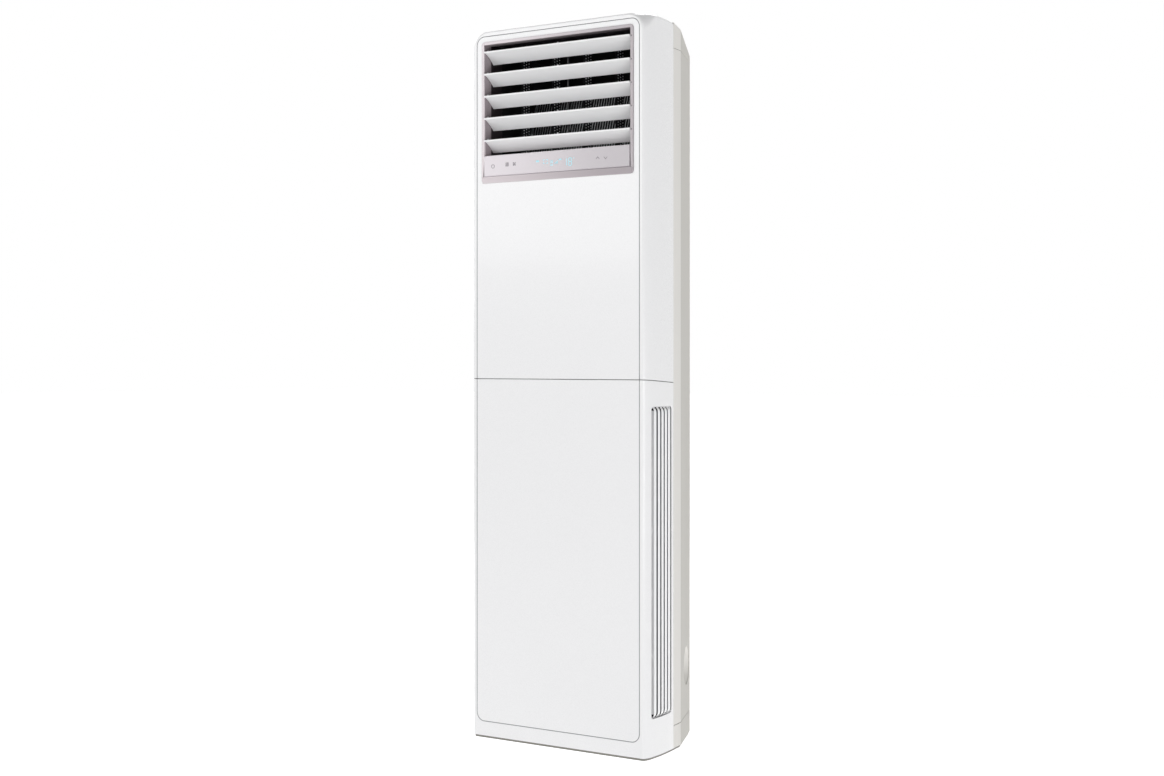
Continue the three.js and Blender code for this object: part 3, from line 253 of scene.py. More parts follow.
# threads that cross over and under, seen on a sheet that stands upright along the depth
groups["woven"] = shaderGroup("wovenMesh", {
    "Thread": ("Color", grey(0.3)), "Hole": ("Color", grey(0.05)), "Scale": ("Float", 160.0),
}, {"Color": "Color", "Height": "Float"}, {
    "spot": objectSpot, "most": ("ShaderNodeMath", {"operation": "MAXIMUM"}), "blend": blendColors,
    "weft": ("ShaderNodeTexWave", {"wave_type": "BANDS", "bands_direction": "Y", "wave_profile": "SIN"}),
    "warp": ("ShaderNodeTexWave", {"wave_type": "BANDS", "bands_direction": "Z", "wave_profile": "SIN"}),
    "cut": ("ShaderNodeMapRange", {"From Min": 0.55, "From Max": 0.8}),
}, "spot.Object > weft.Vector", "spot.Object > warp.Vector", "start.Scale > weft.Scale",
    "start.Scale > warp.Scale", "weft.Fac > most.0", "warp.Fac > most.1", "most.0 > cut.Value",
    "cut.Result > blend.Factor", "start.Hole > blend.A", "start.Thread > blend.B", "blend.Result > end.Color",
    "most.0 > end.Height")

# long scratches of a drawn or rolled sheet over the spangle of its coat
groups["metal"] = shaderGroup("metalGrain", {
    "Tone": ("Color", grey(0.6)), "Dull Tone": ("Color", grey(0.5)), "Spangle Scale": ("Float", 90.0),
    "Scratch Scale": ("Float", 25.0), "Gloss": ("Float", 0.4),
}, skinOutputs, {
    "spot": objectSpot, "stretch": ("ShaderNodeMapping", {"Scale": (1, 1, 14)}), "blend": blendColors,
    "cells": ("ShaderNodeTexVoronoi", {"feature": "F1"}), "split": "ShaderNodeSeparateColor",
    "scratch": ("ShaderNodeTexNoise", {"Detail": 5}),
    "change": ("ShaderNodeMath", {"operation": "MULTIPLY_ADD", 1: 0.16}),
}, "spot.Object > cells.Vector", "spot.Object > stretch.Vector", "stretch.Vector > scratch.Vector",
    "start.Spangle Scale > cells.Scale", "start.Scratch Scale > scratch.Scale", "cells.Color > split.0",
    "split.0 > blend.Factor", "start.Tone > blend.A", "start.Dull Tone > blend.B", "scratch.Fac > change.0",
    "start.Gloss > change.2", "blend.Result > end.Color", "change.0 > end.Roughness",
    "scratch.Fac > end.Height")

# painted shade: darker towards +x, from one side of the front to the other, in place of a reflection that falls
# off there
groups["flop"] = shaderGroup("paintedSideShade", {
    "Color": ("Color", grey(0.8)), "Deep": ("Color", grey(0.6)), "Reach": ("Float", 0.23),
}, {"Color": "Color"}, {
    "spot": objectSpot, "split": "ShaderNodeSeparateXYZ",
    "span": ("ShaderNodeMapRange", {"interpolation_type": "SMOOTHSTEP"}),
    "low": ("ShaderNodeMath", {"operation": "MULTIPLY", 1: -1.3}),
    "blend": ("ShaderNodeMix", {"data_type": "RGBA", "blend_type": "MULTIPLY"}),
}, "spot.Object > split.0", "split.X > span.Value", "start.Reach > low.0", "low.0 > span.From Min",
    "start.Reach > span.From Max", "span.Result > blend.Factor", "start.Color > blend.A",
    "start.Deep > blend.B", "blend.Result > end.Color")

# finishes

plastics = {
    "frontWhite": dict(tone="#f3f3f4", patch="#f2f2f3", gloss=0.26, bump=0.03, grain=700, coat=0.3),
    # painted shade: the groove's walls are darker than the white they are cut in
    "groovePaintedShade": dict(tone="#8f9093", patch="#87888b", gloss=0.5, bump=0.03, grain=700, coat=0),
    # painted shade: near black on the cut faces and bevels of the seam between the two front panels
    "seamPaintedShade": dict(tone="#2c2c2e", patch="#262628", gloss=0.6, bump=0.03, grain=700, coat=0),
    "grilleWhite": dict(tone="#fdfdfe", patch="#fafafb", gloss=0.24, bump=0.03, grain=800, coat=0.5),
    # painted shade: a grey copy of the grille's white, for slat sides and the housing's cut walls at the grille
    "grilleShade": dict(tone="#7c7d81", patch="#75767a", gloss=0.5, bump=0.03, grain=800, coat=0),
    "louverWhite": dict(tone="#f1f1f2", patch="#efeff0", gloss=0.3, bump=0.03, grain=800, coat=0.2),
    "rearGrey": dict(tone="#d5d3ce", patch="#d2d0cb", gloss=0.56, bump=0.16, grain=1500, coat=0,
                     specular=0.02),
    # painted light: a lighter copy of the rear grey for the flat side strip, where the chamfer stays darker
    "bandPaintedLight": dict(tone="#eceae6", patch="#eae8e4", gloss=0.56, bump=0.16, grain=1500, coat=0,
                     specular=0.02),
    # painted light: lighter than the rear grey, to lift the shade inside the hand-hold recesses
    "cupPaintedLight": dict(tone="#e8e6e2", patch="#e5e3df", gloss=0.56, bump=0.16, grain=1500, coat=0,
                    specular=0.02),
    # deep: the tone of the painted shade towards +x
    "trimRose": dict(tone="#dad0d4", patch="#d8ced2", gloss=0.22, bump=0.02, grain=900, coat=0.5,
                     deep="#c4c3c5"),
    # painted shade: a dark outline for the flange's outer rim
    "trimRimPaintedShade": dict(tone="#8d8588", patch="#878083", gloss=0.4, bump=0.02, grain=900, coat=0.1),
    # painted shade: a darker copy of the trim for the outlet's inner reveal
    "revealPaintedShade": dict(tone="#a0959a", patch="#998e92", gloss=0.4, bump=0.03, grain=900, coat=0.1),
    # painted shade for the sunk ends of the louvres' pins
    "pivotPaintedShade": dict(tone="#4f4d51", patch="#48464a", gloss=0.4, bump=0.02, grain=900, coat=0),
    # deep: the tone of the painted shade towards +x
    "panelGloss": dict(tone="#d4ccd2", patch="#d2cad0", gloss=0.12, bump=0.008, grain=500, coat=0.8,
                       deep="#cbcacb"),
    # painted highlight: near white for the control panel's top and left edge bevels
    "panelEdgeHighlight": dict(tone="#fdf8fb", patch="#fbf6f9", gloss=0.12, bump=0.008, grain=500, coat=0.8),
    "printGrey": dict(tone="#6f6a70", patch="#6b666c", gloss=0.45, bump=0.02, grain=900, coat=0),
    # painted highlight: near-white studs that stand for glints on the black vanes
    "studHighlight": dict(tone="#eceef0", patch="#dfe1e4", gloss=0.2, bump=0.02, grain=900, coat=1.0),
    "ductBrown": dict(tone="#41383b", patch="#373033", gloss=0.55, bump=0.1, grain=1200, coat=0, dust=0.15),
    # black plastic of inner parts, also used as painted shade on the slat ends and between the coil's fins
    "blackAndPaintedShade": dict(tone="#1d1d20", patch="#161618", gloss=0.42, bump=0.1, grain=1100, coat=0, dust=0.2),
    "foamBlack": dict(tone="#121213", patch="#0a0a0b", gloss=0.9, bump=0.9, grain=420, coat=0),
    "rubberBlack": dict(tone="#232325", patch="#2b2b2d", gloss=0.75, bump=0.2, grain=900, coat=0),
    "boardGreen": dict(tone="#2c6b43", patch="#245a39", gloss=0.4, bump=0.1, grain=300, coat=0.3),
    "paintedBase": dict(tone="#84827c", patch="#7e7c76", gloss=0.5, bump=0.12, grain=1300, coat=0.1,
                        dust=0.25),
}
metals = {
    "zincSheet": dict(tone="#b9bdbf", dull="#a3a8ab", spangle=110, scratch=30, gloss=0.34, metal=0.9),
    "finAluminium": dict(tone="#d3d6d8", dull="#c0c4c7", spangle=400, scratch=120, gloss=0.4, metal=0.4),
    "copperTube": dict(tone="#c07a50", dull="#a86440", spangle=60, scratch=60, gloss=0.28, metal=1),
    "turnedBrass": dict(tone="#cdb066", dull="#b89a52", spangle=60, scratch=160, gloss=0.26, metal=1),
    "motorPaint": dict(tone="#63615d", dull="#5a5854", spangle=50, scratch=60, gloss=0.42, metal=0.2),
    "screwSteel": dict(tone="#c3c5c7", dull="#adb0b3", spangle=500, scratch=300, gloss=0.3, metal=1),
}
coatRoughness = 0.08
relief = {"reach": 0.0004, "metal": 0.06, "cloth": 0.5}  # depth of the bumps in m, and how strong they are


def groupPart(key, **values):
    named = {label.replace("_", " "): value for label, value in values.items()}
    return "ShaderNodeGroup", {"node_tree": groups[key], **named}


def newMaterial(name, kinds, values, bump, *wires):
    # nodes round the Principled BSDF, which the wires call shader; bump takes its height from the first part
    material = bpy.data.materials.new(name)
    material.use_nodes = True
    tree = material.node_tree
    parts = {**addNodes(tree, kinds), "shader": tree.nodes["Principled BSDF"]}
    setValues(parts["shader"], values)
    wire(tree, parts, *wires)
    if bump:
        first = next(iter(kinds))
        parts |= addNodes(tree, {"bump": ("ShaderNodeBump", {"Strength": bump, "Distance": relief["reach"]})})
        wire(tree, parts, f"{first}.Height > bump.Height", "bump.Normal > shader.Normal")
    return material


def buildPlastic(name, look):
    kinds = {"skin": groupPart("moulded", Tone=shade(look["tone"]), Patch_Tone=shade(look["patch"]),
                               Grain_Scale=look["grain"], Gloss=look["gloss"])}
    if "dust" in look:
        kinds["dust"] = groupPart("dust", Amount=look["dust"])
    # painted shade that darkens towards +x to the deep tone
    if "deep" in look:
        kinds["flop"] = groupPart("flop", Deep=shade(look["deep"]))
    layers = list(kinds)
    return newMaterial(
        name, kinds, {"Specular IOR Level": look.get("specular", 0.5), "Coat Weight": look["coat"],
                      "Coat Roughness": coatRoughness}, look["bump"],
        *[f"{under}.Color > {over}.Color" for under, over in zip(layers, layers[1:])],
        layers[-1] + ".Color > shader.Base Color", "skin.Roughness > shader.Roughness")


def buildMetal(name, look):
    return newMaterial(
        name, {"grain": groupPart("metal", Tone=shade(look["tone"]), Dull_Tone=shade(look["dull"]),
                                  Spangle_Scale=look["spangle"], Scratch_Scale=look["scratch"],
                                  Gloss=look["gloss"])},
        {"Metallic": look["metal"]}, relief["metal"], "grain.Color > shader.Base Color",
        "grain.Roughness > shader.Roughness")


finishes = {name: buildPlastic(name, look) for name, look in plastics.items()}
finishes |= {name: buildMetal(name, look) for name, look in metals.items()}
finishes["filterCloth"] = newMaterial(
    "filterCloth", {"weave": groupPart("woven", Thread=shade("#8d8f95"), Hole=shade("#6c6e74"), Scale=260)},
    {"Roughness": 0.7}, relief["cloth"], "weave.Color > shader.Base Color")
finishes["displayLight"] = newMaterial(  # lit segments behind the panel's skin, a little uneven
    "displayLight", {"skin": groupPart("moulded", Tone=shade("#abe7f4"), Patch_Tone=shade("#b9e9f3"),
                                       Patch_Scale=60)},
    {"Base Color": shade("#3a4a50"), "Roughness": 0.4, "Emission Strength": 0.8}, 0,
    "skin.Color > shader.Emission Color")
print("stage: finishes", len(finishes))

# outlines, in mm


def arcPoints(u, v, radius, turns):
    return [(u + radius * math.cos(math.radians(turn)), v + radius * math.sin(math.radians(turn)))
            for turn in turns]


def roundedOutline(left, bottom, right, top, radius, steps=10):
    corners = [(right - radius, bottom + radius, -90), (right - radius, top - radius, 0),
               (left + radius, top - radius, 90), (left + radius, bottom + radius, 180)]
    return [point for u, v, start in corners
            for point in arcPoints(u, v, radius, [start + 90 * i / steps for i in range(steps + 1)])]


def circleOutline(u, v, radius, steps):
    return [(u + radius * math.cos(math.tau * i / steps), v + radius * math.sin(math.tau * i / steps))
            for i in range(steps)]


# mesh helpers


def linkPiece(name, bm, finish):
    return pieceFrom(name, bm, [finishes[finish]])


def bridgeRings(bm, lower, upper):
    count = len(lower)
    return [bm.faces.new((lower[i], lower[(i + 1) % count], upper[(i + 1) % count], upper[i]))
            for i in range(count)]


def prismMesh(bm, outline, low, high, axis):
    # raises a closed outline along an axis: x takes (depth, z), depth takes (x, z)
    def at(point, level):
        u, v = point
        return place(level, u, v) if axis == "x" else place(u, level, v)
    lower = [bm.verts.new(at(point, low)) for point in outline]
    upper = [bm.verts.new(at(point, high)) for point in outline]
    sides = bridgeRings(bm, lower, upper)
    made = [bm.faces.new(lower), bm.faces.new(list(reversed(upper))), *sides]
    bmesh.ops.recalc_face_normals(bm, faces=made)


def prismPiece(name, outline, low, high, axis, finish):
    bm = bmesh.new()
    prismMesh(bm, outline, low, high, axis)
    return linkPiece(name, bm, finish)


def settle(piece):
    # turns the piece with its modifiers into a plain mesh
    graph = bpy.context.evaluated_depsgraph_get()
    made = bpy.data.meshes.new_from_object(piece.evaluated_get(graph))
    old = piece.data
    piece.modifiers.clear()
    piece.data = made
    bpy.data.meshes.remove(old)


def carve(piece, tool):
    change = piece.modifiers.new("carve", "BOOLEAN")
    change.object = tool
    change.operation = "DIFFERENCE"
    change.solver = "EXACT"
    change.material_mode = "TRANSFER"
    settle(piece)
    bpy.data.objects.remove(tool)


def shadeSmooth(mesh):
    mesh.polygons.foreach_set("use_smooth", [True] * len(mesh.polygons))


def evenShading(piece):
    shading = piece.modifiers.new("shading", "WEIGHTED_NORMAL")
    shading.keep_sharp = True
    settle(piece)


def softenEdges(piece, width, segments=2, angle=32):
    shadeSmooth(piece.data)
    edges = piece.modifiers.new("edges", "BEVEL")
    edges.width = width * mm
    edges.segments = segments
    edges.limit_method = "ANGLE"
    edges.angle_limit = math.radians(angle)
    edges.use_clamp_overlap = False
    evenShading(piece)


def smoothByAngle(piece, angle=32):
    shadeSmooth(piece.data)
    piece.data.set_sharp_from_angle(angle=math.radians(angle))
    evenShading(piece)


def joinInto(name, pieces):
    bm = bmesh.new()
    slots = []
    for piece in pieces:
        first = len(bm.faces)
        bm.from_mesh(piece.data)
        bm.faces.ensure_lookup_table()
        for face in bm.faces[first:]:
            face.material_index += len(slots)
        slots += list(piece.data.materials)
        bpy.data.objects.remove(piece)
    return pieceFrom(name, bm, slots)


def paintFaces(piece, finish, chosen):
    # gives the chosen faces a finish of their own; chosen takes the middle in mm and the normal
    mesh = piece.data
    mesh.materials.append(finishes[finish])
    for face in mesh.polygons:
        middle = face.center / mm
        if chosen(middle.x, middle.y - frontFace, middle.z, face.normal):
            face.material_index = len(mesh.materials) - 1


def standFor(piece, node):
    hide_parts(node)
    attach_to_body(piece, bodyOf[node])


def attach(piece, body):
    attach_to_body(piece, body)


def refine(node, finish, width):
    # merged copy of a CAD node, with softened edges unless the width is 0
    bm = bmesh.new()
    bm.from_mesh(frame["nodes"][node].data)
    bmesh.ops.remove_doubles(bm, verts=bm.verts, dist=0.01 * mm)
    piece = linkPiece(node + "_skin", bm, finish)
    if width:
        softenEdges(piece, width)
    else:
        smoothByAngle(piece)
    standFor(piece, node)
    return piece


# front housing, lofted along its depth

housing = {
    "height": 1850, "halfWidth": 262.5, "depth": 144, "bulge": 8.9, "peak": 47, "rearSpan": 103,
    "frontPower": 4, "rearPower": 1.8,  # how flat the bulge stays ahead of its peak and behind it
    "edge": 4, "frontCorner": 45, "rearCorner": 9, "leastCorner": 2, "blend": 52, "cornerSteps": 16,
    "topDrop": 4, "bottom": 6, "wall": 2.5, "frontWall": 3, "softEdge": 0.5, "softAngle": 40,
    "seam": 941, "seamDrop": 8, "gap": 0.8,
    "hollowSecond": 6, "hollowFrom": 11, "hollowOver": 6,  # where the hollow's rings differ from the outer ones
    "rings": (0, 0.25, 0.7, 1.3, 2.1, 3, 4, 7, 11, 16, 21, 26, 31, 36, 41, 47, 54, 62, 71, 80, 90, 100, 110,
              120, 128, 136, 144),
}
groove = {"inset": 9.5, "width": 1.8, "depth": 0.9, "bottom": 43, "topDrop": 12, "radius": 24, "steps": 16}
outletHole = {"half": 232.2, "bottom": 1455.0, "top": 1819.5, "radius": 6, "cutTo": 20}
grille = {
    "front": 26, "rear": 130, "bottom": 100, "top": 874, "radius": 10, "border": 6, "back": 4, "lap": 1,
    "fields": 5, "rib": 6, "wall": 250, "cutFrom": 150, "holeOver": 5, "slack": 0.3, "softEdge": 0.5,
}
cutter = {"front": -20, "rear": 170, "side": 400, "over": 20}  # how far the cutting tools reach


def bulgeAt(depth):
    ahead = depth < housing["peak"]
    span = housing["peak"] if ahead else housing["rearSpan"]
    power = housing["frontPower"] if ahead else housing["rearPower"]
    return housing["bulge"] * (1 - (abs(depth - housing["peak"]) / span) ** power)


def sideAt(depth):
    return housing["halfWidth"] + bulgeAt(depth)


def housingOutline(depth, inset, bottom):
    ahead = max(housing["edge"] - depth, 0)
    drawn = housing["edge"] - math.sqrt(housing["edge"] ** 2 - ahead ** 2) + inset
    share = min(max(depth / housing["blend"], 0), 1)
    share = share * share * (3 - 2 * share)
    radius = housing["frontCorner"] + (housing["rearCorner"] - housing["frontCorner"]) * share
    radius = max(radius - inset, housing["leastCorner"])
    half = sideAt(depth) - drawn
    top = housing["height"] - housing["topDrop"] * (depth / housing["depth"]) ** 2 - drawn
    outline = [(-half, bottom), (half, bottom)]
    steps = housing["cornerSteps"]
    for side in (1, -1):
        for i in range(steps + 1):
            turn = math.pi / 2 * (i if side > 0 else steps - i) / steps
            outline.append((side * (half - radius + radius * math.cos(turn)),
                            top - radius + radius * math.sin(turn)))
    return outline


def loftPiece(name, depths, inset, bottom):
    bm = bmesh.new()
    rings = []
    for depth in depths:
        outline = housingOutline(min(depth, housing["depth"]), inset, bottom)
        rings.append([bm.verts.new(place(x, depth, z)) for x, z in outline])
    for front, rear in zip(rings, rings[1:]):
        bridgeRings(bm, front, rear)
    bm.faces.new(rings[0])
    bm.faces.new(list(reversed(rings[-1])))
    bmesh.ops.recalc_face_normals(bm, faces=bm.faces)
    return linkPiece(name, bm, "frontWhite")


def seamHeightAt(depth):
    return housing["seam"] - housing["seamDrop"] * depth / housing["depth"]


def seamTool(above):
    # everything on one side of the seam, which falls towards the rear; its cut faces take the seam's painted
    # shade
    gap = -housing["gap"] / 2 if above else housing["gap"] / 2
    end = housing["height"] + cutter["over"] if above else -cutter["over"]
    front, rear = cutter["front"], cutter["rear"]
    outline = [(front, seamHeightAt(front) + gap), (rear, seamHeightAt(rear) + gap),
               (rear, end), (front, end)]
    return prismPiece("seamTool", outline, -cutter["side"], cutter["side"], "x", "seamPaintedShade")


def grooveTool():
    half, top = housing["halfWidth"] - groove["inset"], housing["height"] - groove["topDrop"]

    def block(name, inset, front, rear):
        outline = roundedOutline(-half + inset, groove["bottom"] + inset, half - inset, top - inset,
                                 groove["radius"] - inset, groove["steps"])
        # the cut faces of the groove take its painted shade
        return prismPiece(name, outline, front, rear, "depth", "groovePaintedShade")
    ring = block("grooveTool", 0, -1, groove["depth"])
    carve(ring, block("grooveHole", groove["width"], -2, groove["depth"] + 1))
    return ring


def outletTool():
    outline = roundedOutline(-outletHole["half"], outletHole["bottom"], outletHole["half"], outletHole["top"],
                             outletHole["radius"])
    return prismPiece("outletTool", outline, cutter["front"], outletHole["cutTo"], "depth", "frontWhite")


def grilleOutline(border):
    return roundedOutline(grille["front"] - border, grille["bottom"] - border, grille["rear"] + border,
                          grille["top"] + border, grille["radius"] + border)


def buildHousing():
    shared = [depth for depth in housing["rings"] if depth >= housing["hollowFrom"]]
    inner = [housing["frontWall"], housing["hollowSecond"], *shared, housing["depth"] + housing["hollowOver"]]
    upper = loftPiece("front_panel_upper_skin", housing["rings"], 0, housing["bottom"])
    carve(upper, loftPiece("hollow", inner, housing["wall"], housing["bottom"] - 1))
    carve(upper, grooveTool())
    lower = newPiece("front_panel_lower_skin", upper.data.copy())
    carve(upper, seamTool(False))
    carve(upper, outletTool())
    carve(lower, seamTool(True))
    for side in (-1, 1):
        ends = sorted((side * grille["cutFrom"], side * cutter["side"]))
        # the housing's cut walls round the grille take painted shade
        carve(lower, prismPiece("grilleTool", grilleOutline(0), *ends, "x", "grilleShade"))
    # the floor of each grille opening keeps the white instead of the painted shade
    paintFaces(lower, "frontWhite", lambda x, depth, z, normal: (
        normal.z > leaning and abs(z - grille["bottom"]) < grille["radius"] and abs(x) > grille["wall"]))
    for piece, node in ((upper, "front_panel_upper"), (lower, "front_panel_lower")):
        softenEdges(piece, housing["softEdge"], angle=housing["softAngle"])
        # painted shade on the seam's bevels, which widens the dark line
        paintFaces(piece, "seamPaintedShade", lambda x, depth, z, normal: (
            abs(normal.z) > leaning and abs(z - seamHeightAt(depth)) < 2 * housing["softEdge"]))
        standFor(piece, node)


buildHousing()
print("stage: housing")

# geometry trees for what repeats


def endTree(tree, parts):
    # plain mesh in one finish, as the export drops instances
    parts |= addNodes(tree, {"real": "GeometryNodeRealizeInstances", "paint": "GeometryNodeSetMaterial"})
    wire(tree, parts, "spread.0 > real.0", "real.0 > paint.Geometry", "start.Finish > paint.Material",
         "paint.0 > end.0")


def growPiece(name, tree, identifiers, values, base=None):
    piece = newPiece(name, base or bpy.data.meshes.new(name))
    maker = piece.modifiers.new("maker", "NODES")
    maker.node_group = tree
    for label, value in values.items():
        maker[identifiers[label]] = value
    settle(piece)
    return piece


def mathNode(tree, operation, *values):
    node = tree.nodes.new("ShaderNodeMath")
    node.operation = operation
    for socket, value in zip(node.inputs, values):
        if isinstance(value, (int, float)):
            socket.default_value = value
        else:
            tree.links.new(value, socket)
    return node.outputs[0]


# side grilles: a frame with ribs, and upright slats repeated along the depth

slat = {
    "count": 5, "width": 10.5, "frontGap": 13, "play": 1, "setback": 5, "rise": 3, "end": 13, "tip": 8.8,
    "steps": 8, "rootDepth": 50, "softEdge": 1.1, "softAngle": 50,
}
grillePlane = sideAt(grille["rear"] + grille["border"]) - housing["wall"] - grille["slack"]
slatGap = (grille["rear"] - grille["front"] - slat["frontGap"]
           - slat["count"] * slat["width"]) / slat["count"]


def buildSlatTree():
    # repeats one slat along the depth, each set out as far as the bulge of the housing
    tree, parts, identifiers = newTree("GeometryNodeTree", "slatRow", {
        "Slat": ("Object", None), "Count": ("Int", 5), "First": ("Float", 0.0), "Pitch": ("Float", 0.018),
        "Peak": ("Float", 0.0), "Span": ("Float", 0.1), "Bulge": ("Float", 0.009), "Base": ("Float", 0.26),
        "Finish": ("Material", None)}, {"Geometry": "Geometry"})
    parts |= addNodes(tree, {
        "line": "GeometryNodeMeshLine", "position": "GeometryNodeInputPosition",
        "split": "ShaderNodeSeparateXYZ", "spot": "ShaderNodeCombineXYZ", "startAt": "ShaderNodeCombineXYZ",
        "stepBy": "ShaderNodeCombineXYZ", "move": "GeometryNodeSetPosition",
        "source": "GeometryNodeObjectInfo", "spread": "GeometryNodeInstanceOnPoints"})
    wire(tree, parts, "start.Count > line.Count", "start.First > startAt.Y", "start.Pitch > stepBy.Y",
         "startAt.0 > line.Start Location", "stepBy.0 > line.Offset", "position.0 > split.0",
         "split.Y > spot.Y", "line.0 > move.Geometry", "spot.0 > move.Position", "start.Slat > source.Object",
         "move.0 > spread.Points", "source.Geometry > spread.Instance")
    given = parts["start"].outputs
    away = mathNode(tree, "ABSOLUTE", mathNode(tree, "SUBTRACT", parts["split"].outputs["Y"], given["Peak"]))
    share = mathNode(tree, "POWER", mathNode(tree, "DIVIDE", away, given["Span"]), housing["rearPower"])
    out = mathNode(tree, "MULTIPLY", mathNode(tree, "SUBTRACT", 1.0, share), given["Bulge"])
    tree.links.new(mathNode(tree, "ADD", out, given["Base"]), parts["spot"].inputs["X"])
    endTree(tree, parts)
    return tree, identifiers


def slatPiece():
    # one slat at the origin: its face at x 0, curving back to the frame at both ends
    low, high = grille["bottom"] + slat["play"], grille["top"] - slat["play"]
    root = -(sideAt(slat["rootDepth"]) - grillePlane + grille["back"])
    outline = [(root, low), (-slat["setback"], low)]
    for i in range(slat["steps"] + 1):
        turn = math.pi / 2 * i / slat["steps"]
        outline.append((-slat["setback"] * (1 - math.sin(turn)),
                        low + slat["rise"] + slat["end"] * (1 - math.cos(turn))))
    outline += [(x, low + high - z) for x, z in reversed(outline)]
    bm = bmesh.new()
    lower, upper = [[bm.verts.new((x * mm, side * slat["width"] / 2 * mm, z * mm)) for x, z in outline]
                    for side in (-1, 1)]
    bridgeRings(bm, lower, upper)
    bm.faces.new(lower)
    bm.faces.new(upper)
    bmesh.ops.recalc_face_normals(bm, faces=bm.faces)
    # cuts each side where the painted black shade at the slat's ends begins
    for level in (low + slat["tip"], high - slat["tip"]):
        bmesh.ops.bisect_plane(bm, geom=[*bm.verts, *bm.edges, *bm.faces], dist=0.3 * mm,
                               plane_co=(0, 0, level * mm), plane_no=(0, 0, 1))
    piece = linkPiece("slat", bm, "grilleWhite")
    softenEdges(piece, slat["softEdge"], segments=3, angle=slat["softAngle"])
    return piece


def grilleFrame():
    back, front, rear = grillePlane - grille["back"], grille["front"], grille["rear"]
    ring = prismPiece("grilleFrame", grilleOutline(grille["border"]), back, grillePlane, "x", "grilleWhite")
    over = grille["holeOver"]
    carve(ring, prismPiece("grilleHole", grilleOutline(-grille["lap"]), back - over, grillePlane + over, "x",
                           "grilleWhite"))
    bm = bmesh.new()
    pitch = (grille["top"] - grille["bottom"]) / grille["fields"]
    for i in range(1, grille["fields"]):
        low = grille["bottom"] + i * pitch - grille["rib"] / 2
        high = low + grille["rib"]
        prismMesh(bm, [(front, low), (rear, low), (rear, high), (front, high)], back, grillePlane, "x")
    ribs = linkPiece("grilleRibs", bm, "grilleWhite")
    for piece in (ring, ribs):
        softenEdges(piece, grille["softEdge"])
    return joinInto("grilleFrame", [ring, ribs])


def mirrorPiece(piece, name):
    bm = bmesh.new()
    bm.from_mesh(piece.data)
    for vert in bm.verts:
        vert.co.x = -vert.co.x
    bmesh.ops.reverse_faces(bm, faces=bm.faces)
    return pieceFrom(name, bm, piece.data.materials)


def buildGrilles():
    tree, identifiers = buildSlatTree()
    source = slatPiece()
    first = grille["front"] + slat["frontGap"] + slat["width"] / 2
    slats = growPiece("grilleSlats", tree, identifiers, {
        "Slat": source, "Count": slat["count"], "First": (frontFace + first) * mm,
        "Pitch": (slat["width"] + slatGap) * mm, "Peak": (frontFace + housing["peak"]) * mm,
        "Span": housing["rearSpan"] * mm, "Bulge": housing["bulge"] * mm, "Base": housing["halfWidth"] * mm,
        "Finish": finishes["grilleWhite"]})
    bpy.data.objects.remove(source)
    shadeSmooth(slats.data)
    low, high = grille["bottom"] + slat["end"], grille["top"] - slat["end"]
    foremost = grille["front"] + slat["frontGap"] + 1
    # painted shade on the slat sides seen through the gaps: grey along the slats, black at their ends
    paintFaces(slats, "grilleShade", lambda x, depth, z, normal: (
        abs(normal.y) > straight and low < z < high and depth > foremost))
    paintFaces(slats, "blackAndPaintedShade", lambda x, depth, z, normal: (
        abs(normal.y) > straight and not low < z < high))
    right = joinInto("side_grille_right_skin", [grilleFrame(), slats])
    left = mirrorPiece(right, "side_grille_left_skin")
    standFor(right, "side_grille_right")
    standFor(left, "side_grille_left")


buildGrilles()
print("stage: side grilles")

# louvres: a curved blade with a rounded lip, hung from lugs on pins; points count from the pins

louver = {
    "count": 5, "pitch": 57.9, "axisDepth": 10, "axisHeight": 1799.0, "half": 225.3, "thickness": 2.6,
    "nose": (-13.5, -4), "tail": (25.5, -32), "sag": 2.2, "hook": (0.6, 0.9), "steps": 18,
    "lip": (2, 2.4), "lipRadius": 1.2, "lipOver": 0.05, "lug": 3, "lugRadius": 3.5, "lugRise": 0.1, "pin": 2, "pinEnd": 231.0,
    "lugStart": -7, "lugBelow": 2.6,  # the lug starts this far below the nose
    "lugFront": [(-5.2, -3.4), (-3.9, -1), (-3.3, 1.2)], "lugBack": [(7, -13.4), (0, -10)],
    "armReach": 43, "armFall": 15.7, "armRadius": 3.6, "armShoulder": (6, 5),
    "armFromTail": (2, 3), "armBack": [(14, -20.4), (7.5, -14.9), (0, -10)],
    "linkPin": 1.6, "linkPinEnd": 5.6, "softEdge": 0.35,
}


def louverSection():
    noseU, noseV = louver["nose"]
    tailU, tailV = louver["tail"]
    length = math.hypot(noseV - tailV, tailU - noseU)
    lift = 2 * louver["sag"] / length
    middle = ((noseU + tailU) / 2 + (noseV - tailV) * lift, (noseV + tailV) / 2 + (tailU - noseU) * lift)
    path = []
    for i in range(louver["steps"] + 1):
        t = i / louver["steps"]
        path.append(tuple((1 - t) ** 2 * a + 2 * t * (1 - t) * b + t * t * c
                          for a, b, c in zip(louver["nose"], middle, louver["tail"])))
    path.append((tailU + louver["hook"][0], tailV + louver["hook"][1]))
    upper = []
    for i, (u, v) in enumerate(path):
        before, after = path[max(i - 1, 0)], path[min(i + 1, len(path) - 1)]
        run = math.hypot(after[0] - before[0], after[1] - before[1])
        upper.append((u - (after[1] - before[1]) / run * louver["thickness"],
                      v + (after[0] - before[0]) / run * louver["thickness"]))
    return path + upper[::-1]


def lugOutline(withArm):
    outline = [(louver["lugStart"], louver["nose"][1] - louver["lugBelow"]), *louver["lugFront"]]
    outline += arcPoints(0, louver["lugRise"], louver["lugRadius"], range(150, 20, -20))
    if not withArm:
        return outline + louver["lugBack"]
    reach, fall = louver["armReach"], louver["armFall"]
    tip = arcPoints(reach, -fall, louver["armRadius"], range(70, -110, -20))
    (back, rise), (tailU, tailV), (inward, upward) = louver["armShoulder"], louver["tail"], louver["armFromTail"]
    return [*outline, (reach - back, -fall + rise), *tip, (tailU - inward, tailV + upward), *louver["armBack"]]


